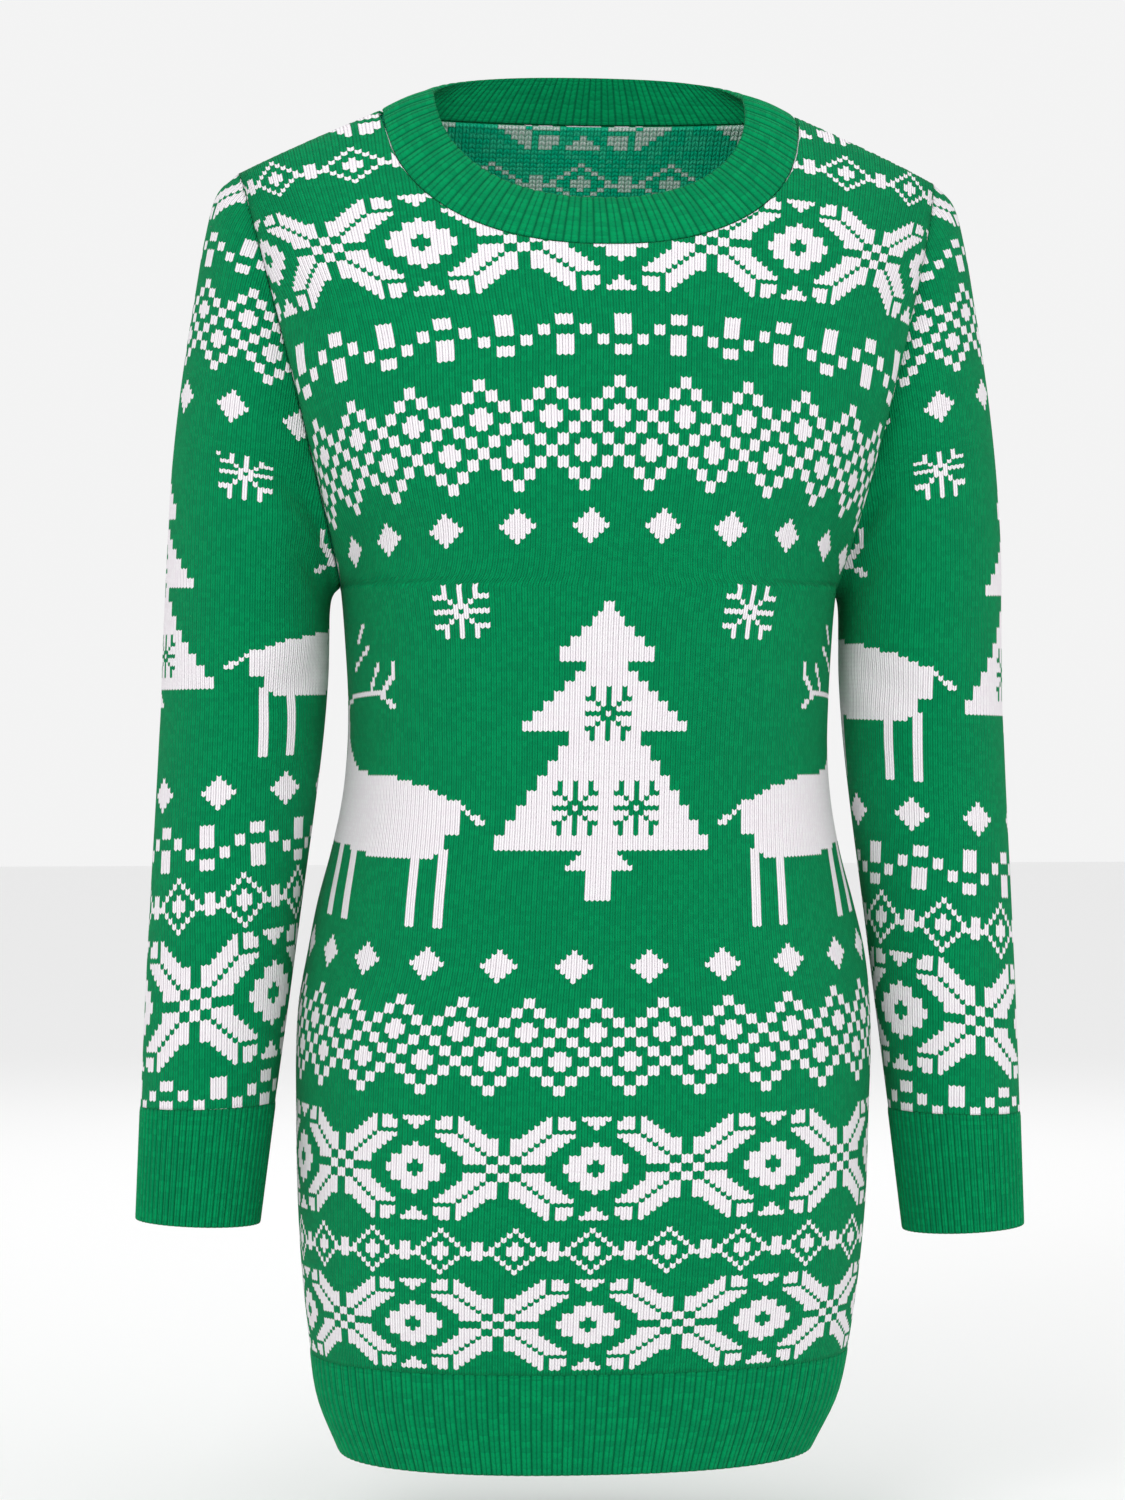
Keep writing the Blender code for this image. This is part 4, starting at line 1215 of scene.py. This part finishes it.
def cuff(name, side):
    count = RIB_STEPS * CUFF_RIBS
    angle = np.linspace(0, 2 * math.pi, count, endpoint=False)
    join, end = lifted(RINGS[-1], side), lifted(CUFF_END, side)
    long = join[1] - end[1]
    rows, inner_rows = [], []
    for down, raised in [(way / long, raised) for way, raised in CUFF_TOP_ROWS] + [*CUFF_ROWS]:
        ring = join + down * (end - join)
        ring[[1, 3]] -= SEAM_GAP * (1 - down)
        line = tube_point(ring, angle) * np.array([side, 1, 1])
        middle = line.mean(axis=0)
        ahead = np.roll(line, -1, axis=0) - np.roll(line, 1, axis=0)
        axis = unit(np.cross(line[count // 4] - middle, line[count // 2] - middle))
        outward = unit(np.cross(ahead, axis))
        if np.einsum("ij,ij->", outward, line - middle) < 0:
            outward = -outward
        lift = rib_lift(count) * raised
        inner_rows.append(line - outward * (RIB_WALL - INNER_IN))
        rows.append(line + outward * (lift - FLOOR_IN)[:, None])
    return ribbed_band(name, np.array(rows), np.array(inner_rows), True)


left_cuff = cuff("cuff_rib_left", 1)
right_cuff = cuff("cuff_rib_right", -1)

# %% [markdown]
# ## The collar
# The collar is picked up from the neckline. Its ribs start square to that edge and stand up to a
# smaller head opening, so they lean in a little all round.

# %% The two edges of the collar
COLLAR_X, COLLAR_SIDE_Z, COLLAR_BACK_LEAN = 87.0, 10.0, 3.0
COLLAR_FRONT, COLLAR_BACK = (-66.0, -57.0), (55.0, 27.0)        # y and z of the head opening
COLLAR_FLAT = 0.75      # how flat the opening runs towards its sides


def opening_point(angle):
    bow = abs(math.cos(angle)) ** (2 / NECK_POWER)
    x = COLLAR_X * math.copysign(abs(math.sin(angle)) ** (2 / NECK_POWER), math.sin(angle))
    y_end, z_end = COLLAR_FRONT if math.cos(angle) > 0 else COLLAR_BACK
    if math.cos(angle) < 0:
        x += COLLAR_BACK_LEAN * bow
    return np.array([x, y_end * bow**COLLAR_FLAT, COLLAR_SIDE_Z + (z_end - COLLAR_SIDE_Z) * bow])


def neck_edge():
    """Angle, outer and inner point all round the neckline."""
    turn = np.radians(np.linspace(-90, 90, 121))
    x = NECK_X * np.sign(turn) * np.abs(np.sin(turn)) ** (2 / NECK_POWER)
    angles, outer, inner = [], [], []
    for front in (True, False):
        z = top_z(x * 0.9999, front)
        y = body_depth(np.abs(x), z, front, np.sign(x))
        points = np.stack([x + section("shift", z), -y if front else y, z], -1)
        inward = -body_normals(points, front)
        inward[[0, -1], 1] = 0.0
        order = slice(None) if front else slice(None, None, -1)
        angles.append(turn if front else math.pi - turn[::-1])
        outer.append(points[order])
        inner.append((points + unit(inward) * WALL)[order])
    return [np.concatenate([half[:-1] for half in halves]) for halves in (angles, outer, inner)]


edge_angle, edge, edge_inner = neck_edge()
print("the neckline is", round(float(lengths(edge)[-1])), "mm round")

# %% Stand the collar on the neckline
COLLAR_ROWS = (         # way up, how far the collar bulges there, and share of the full ridge
    (0.06, 0.2, 0.7), (0.14, 0.4, 1.0), (0.27, 0.8, 1.0), (0.41, 1.1, 1.0), (0.55, 1.2, 1.0),
    (0.70, 1.0, 1.0), (0.85, 0.6, 1.0), (0.96, 0.2, 1.0), (1.00, 0.0, 0.7),
)
COLLAR_INNER_IN = 0.2


def spread(values, length, where):
    return np.array([np.interp(where, length, values[:, i]) for i in range(3)]).T


def collar(name):
    closed = np.concatenate([edge, edge[:1]])
    closed_inner = np.concatenate([edge_inner, edge_inner[:1]])
    closed_angle = np.concatenate([edge_angle, edge_angle[:1] + 2 * math.pi])
    length = lengths(closed)
    count = RIB_STEPS * COLLAR_RIBS
    where = np.arange(count) / count * length[-1]
    foot, foot_inner = spread(closed, length, where), spread(closed_inner, length, where)
    top = np.array([opening_point(a) for a in np.interp(where, length, closed_angle)])
    rise = unit(top - foot)
    ahead = np.roll(foot, -3, axis=0) - np.roll(foot, 3, axis=0)
    normal = unit(np.cross(ahead, rise))
    if np.einsum("ij,ij->", normal, foot - foot_inner) < 0:
        normal = -normal
    seam_side = unit(foot - foot_inner)
    ridge = rib_lift(count)[:, None]
    rows, inner_rows = [foot + rise * NECK_GAP], [foot_inner + rise * NECK_GAP]
    for up, bulge, raised in COLLAR_ROWS:
        turned = unit(normal * up**0.5 + seam_side * (1 - up**0.5))
        line = foot + (top - foot) * up + turned * bulge
        rows.append(line + turned * ridge * raised)
        inner_rows.append(line - turned * (RIB_WALL - COLLAR_INNER_IN))
    return ribbed_band(name, np.array(rows), np.array(inner_rows), True)


collar_piece = collar("collar_rib")

# %% [markdown]
# ## The yarn
# Two effects are shared by all the finishes, so each is a node group. The first draws the relief
# of one stitch: two round legs that meet in a V, and marks the furrows and deep parts where shade
# is painted. The second gives the soft, uneven colour of wool, stitch by stitch and in wider
# patches, and paints that shade into the furrows. Each material then picks its own colours and
# strengths.

# %% A helper for nodes, and one for node groups


class Nodes:
    """Small helper to add nodes and link them in one line."""

    def __init__(self, tree):
        self.tree = tree

    def add(self, kind, settings=(), **inputs):
        """An input is named as in Blender, or _ and its number where several have one name."""
        node = self.tree.nodes.new(kind)
        for name, value in dict(settings).items():
            setattr(node, name, value)
        for name, value in inputs.items():
            at = int(name[1:]) if name[1:].isdigit() else name.replace("_", " ")
            if isinstance(value, bpy.types.NodeSocket):
                self.tree.links.new(value, node.inputs[at])
            else:
                node.inputs[at].default_value = value
        return node

    def math(self, operation, a, b=0.0):
        return self.add("ShaderNodeMath", {"operation": operation}, _0=a, _1=b).outputs[0]

    def plus(self, a, b):
        return self.math("ADD", a, b)

    def minus(self, a, b):
        return self.math("SUBTRACT", a, b)

    def times(self, a, b):
        return self.math("MULTIPLY", a, b)

    def ramp(self, value, low, high):
        return self.add("ShaderNodeMapRange", {"clamp": True, "interpolation_type": "SMOOTHSTEP"},
                        Value=value, From_Min=low, From_Max=high).outputs[0]

    def mix(self, factor, a, b):
        return self.add("ShaderNodeMix", {"data_type": "RGBA"}, _0=factor, _6=a, _7=b).outputs[2]


def new_group(name, inputs, outputs):
    group = bpy.data.node_groups.new(name, "ShaderNodeTree")
    for title, kind, value in inputs:
        socket = group.interface.new_socket(title, in_out="INPUT", socket_type=kind)
        if value is not None:
            socket.default_value = value
    for title, kind in outputs:
        group.interface.new_socket(title, in_out="OUTPUT", socket_type=kind)
    nodes = Nodes(group)
    return group, nodes, nodes.add("NodeGroupInput").outputs, nodes.add("NodeGroupOutput").inputs


print("helpers:", [name for name in vars(Nodes) if not name.startswith("_")])

# %% A node group for the relief of the stitches, and for where shade is painted
LEG_ROUND, COURSE_ROUND = 0.7, 0.6      # powers that make the two legs and their ends fuller
FURROW_FROM, FURROW_DEEP = 0.72, 0.35   # the furrow between two wales, sunk in the relief and given painted shade
SHADE_BELOW = 0.7                      # relief below which the yarn counts as lying deep and gets painted shade

knit_relief, n, given, out = new_group(
    "knit_relief",
    [("Stitches", "NodeSocketVector", None), ("Lean", "NodeSocketFloat", 0.3),
     ("Course Depth", "NodeSocketFloat", 0.5)],
    [("Height", "NodeSocketFloat"), ("Furrow", "NodeSocketFloat")])
wale, course = n.add("ShaderNodeSeparateXYZ", _0=given["Stitches"]).outputs[:2]
from_middle = n.times(n.math("ABSOLUTE", n.minus(n.math("FRACT", wale), 0.5)), 2.0)
leg = n.math("SINE", n.times(n.math("FRACT", n.times(wale, 2.0)), math.pi))
along = n.math("FRACT", n.minus(course, n.times(from_middle, given["Lean"])))
loop = n.math("POWER", n.math("SINE", n.times(along, math.pi)), COURSE_ROUND)
between = n.ramp(from_middle, FURROW_FROM, 1.0)
kept = n.minus(1.0, n.times(n.minus(1.0, loop), given["Course Depth"]))
height = n.times(n.math("POWER", leg, LEG_ROUND), kept)
deep = n.minus(1.0, n.ramp(height, 0.0, SHADE_BELOW))
n.tree.links.new(n.minus(height, n.times(between, FURROW_DEEP)), out["Height"])
# the second output marks where shade is painted: the furrows between wales and the deep parts of
# the relief
n.tree.links.new(n.math("MAXIMUM", between, deep), out["Furrow"])
print("group", knit_relief.name, "with", len(knit_relief.nodes), "nodes")

# %% A node group for the uneven colour of the wool, with painted shade in the furrows
FIBRE_SCALE, FIBRE_ROUGH = 900.0, 0.6   # single fibres, about a millimetre
PATCH_SCALE, PATCH_ROUGH = 16.0, 0.5    # wide patches, a hand's breadth
PATCH_SHARE = 0.35
LIT_FROM, LIT_TO = 0.3, 0.75

wool_colour, n, given, out = new_group(
    "wool_colour",
    [("Stitches", "NodeSocketVector", None), ("Place", "NodeSocketVector", None),
     ("Middle", "NodeSocketColor", (0.5, 0.5, 0.5, 1.0)),
     ("Light", "NodeSocketColor", (0.6, 0.6, 0.6, 1.0)),
     ("Deep", "NodeSocketColor", (0.3, 0.3, 0.3, 1.0)),
     ("Furrow", "NodeSocketFloat", 0.0), ("Fleck Amount", "NodeSocketFloat", 0.5)],
    [("Color", "NodeSocketColor")])
one_stitch = n.add("ShaderNodeVectorMath", {"operation": "FLOOR"}, _0=given["Stitches"]).outputs[0]
own = n.add("ShaderNodeTexWhiteNoise", {"noise_dimensions": "2D"},
            Vector=one_stitch).outputs["Value"]
fibres, patches = (
    n.add("ShaderNodeTexNoise", Vector=given["Place"], Scale=scale, Detail=2.0, Roughness=rough)
    for scale, rough in ((FIBRE_SCALE, FIBRE_ROUGH), (PATCH_SCALE, PATCH_ROUGH)))
fleck = n.plus(n.times(own, 0.5), n.times(fibres.outputs["Fac"], 0.5))
patched = n.plus(fleck, n.times(n.minus(patches.outputs["Fac"], 0.5), PATCH_SHARE))
lit = n.times(n.ramp(patched, LIT_FROM, LIT_TO), given["Fleck Amount"])
shade = n.mix(lit, given["Middle"], given["Light"])
# painted shade: in the furrows and deep parts the colour turns to the darker, shaded one
n.tree.links.new(n.mix(given["Furrow"], shade, given["Deep"]), out["Color"])
print("group", wool_colour.name, "with", len(wool_colour.nodes), "nodes")

# %% [markdown]
# ## The finishes
# Wool is matt with a faint bloom of loose fibres, so the surfaces are rough and have a little
# sheen. The white yarn leans towards lilac. Each yarn has a darker colour in its furrows, which is
# painted shade. The inside of the body shows the backs of the loops, and its yarns are painted much
# lighter than the same yarns outside, which is painted light.

# %% The knit outside, inside, and on the ribs
YARNS = {               # the yarn's middle and light colour, and its deep colour, which is painted shade in the furrows
    "green": ((0.0, 0.225, 0.078), (0.0, 0.300, 0.098), (0.0, 0.150, 0.058)),
    "white": ((0.93, 0.88, 0.915), (0.96, 0.94, 0.955), (0.66, 0.58, 0.67)),
    "green_rib": ((0.0, 0.225, 0.078), (0.0, 0.300, 0.098), (0.0, 0.100, 0.042)),
    # the inside yarns are much lighter copies of the outside ones: painted light for the inside of
    # the dress
    "green_inside_lit": ((0.0, 0.620, 0.330), (0.05, 0.750, 0.430), (0.0, 0.400, 0.200)),
    "white_inside_lit": ((0.70, 0.88, 0.80), (0.90, 0.95, 0.92), (0.18, 0.55, 0.38)),
}
BLOOM = {               # how matt the wool is, and its bloom of loose fibres
    "Roughness": 0.88, "Specular IOR Level": 0.04, "Sheen Weight": 0.03, "Sheen Roughness": 0.5,
    "Sheen Tint": (0.8, 1.0, 0.9, 1.0),
}


def place_group(n, group, **inputs):
    return n.add("ShaderNodeGroup", {"node_tree": group}, **inputs).outputs


def wool_material(name, yarns, lean, course_depth, furrow_shade_share, bump, flecks):
    """A finish of one yarn, or of two where the mesh says which; bump is in metres."""
    material = bpy.data.materials.new(name)
    material.use_nodes = True
    n = Nodes(material.node_tree)
    shader = material.node_tree.nodes["Principled BSDF"]
    for socket, value in BLOOM.items():
        shader.inputs[socket].default_value = value
    stitches = n.add("ShaderNodeUVMap", {"uv_map": "stitches"}).outputs[0]
    place = n.add("ShaderNodeTexCoord").outputs["Object"]
    relief = place_group(n, knit_relief, Stitches=stitches, Lean=lean, Course_Depth=course_depth)
    # painted shade: how strongly the furrows and deep parts turn to the shaded colour
    furrow_shade = n.math("MULTIPLY", relief["Furrow"], furrow_shade_share)
    shades = []
    for yarn in yarns:
        middle, light, deep = ((*colour, 1.0) for colour in YARNS[yarn])
        shades.append(place_group(n, wool_colour, Stitches=stitches, Place=place, Furrow=furrow_shade,
                                  Fleck_Amount=flecks, Middle=middle, Light=light,
                                  Deep=deep)["Color"])
    colour = shades[0]
    if len(shades) > 1:
        is_white = n.add("ShaderNodeAttribute", {"attribute_name": "yarn"}).outputs["Fac"]
        colour = n.mix(n.math("GREATER_THAN", is_white, 0.5), shades[0], shades[1])
    n.tree.links.new(colour, shader.inputs["Base Color"])
    ridge = n.add("ShaderNodeBump", Strength=1.0, Distance=bump, Height=relief["Height"])
    n.tree.links.new(ridge.outputs[0], shader.inputs["Normal"])
    return material


jacquard = wool_material("jacquard_knit", ["green", "white"], lean=0.3, course_depth=0.55,
                         furrow_shade_share=0.55, bump=0.0005, flecks=0.6)
# the inside finish, painted lighter than the outside as painted light
loops = wool_material("jacquard_inside_lit", ["green_inside_lit", "white_inside_lit"], lean=-0.5,
                      course_depth=0.9, furrow_shade_share=0.8, bump=0.0005, flecks=0.7)
rib_knit = wool_material("rib_knit", ["green_rib"], lean=0.3, course_depth=0.5, furrow_shade_share=0.8,
                         bump=0.0004, flecks=0.7)
print("materials:", jacquard.name, loops.name, rib_knit.name)

# %% [markdown]
# ## Put the finishes on, and attach the pieces
# Each piece rides on the one body of the dress and stands for its solid. The table lists the size,
# in metres, that each sheet of cloth was cut to; a tube's width is its way round.

# %% Finish
SHEETS = (              # solid, piece, width and length as cut, and area where that differs
    ("front", front_piece, (0.42, 0.69), 0.25), ("back", back_piece, (0.43, 0.73), 0.275),
    ("sleeve_left", left_sleeve, (0.30, 0.53), 0.115),
    ("sleeve_right", right_sleeve, (0.30, 0.53), 0.115),
    ("hem_rib_front", hem_front, (0.36, 0.055), None),
    ("hem_rib_back", hem_back, (0.37, 0.055), None),
    ("cuff_left", left_cuff, (0.21, 0.065), None), ("cuff_right", right_cuff, (0.21, 0.065), None),
    ("collar", collar_piece, (0.50, 0.035), None),
)
for node, piece, flat, area in SHEETS:
    slot, finishes = ("jacquard_knit", (jacquard, loops)) if area else ("rib_knit", (rib_knit,))
    for finish in finishes:
        piece.data.materials.append(finish)
    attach(piece, "root")
    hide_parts(node)

bpy.context.view_layer.update()
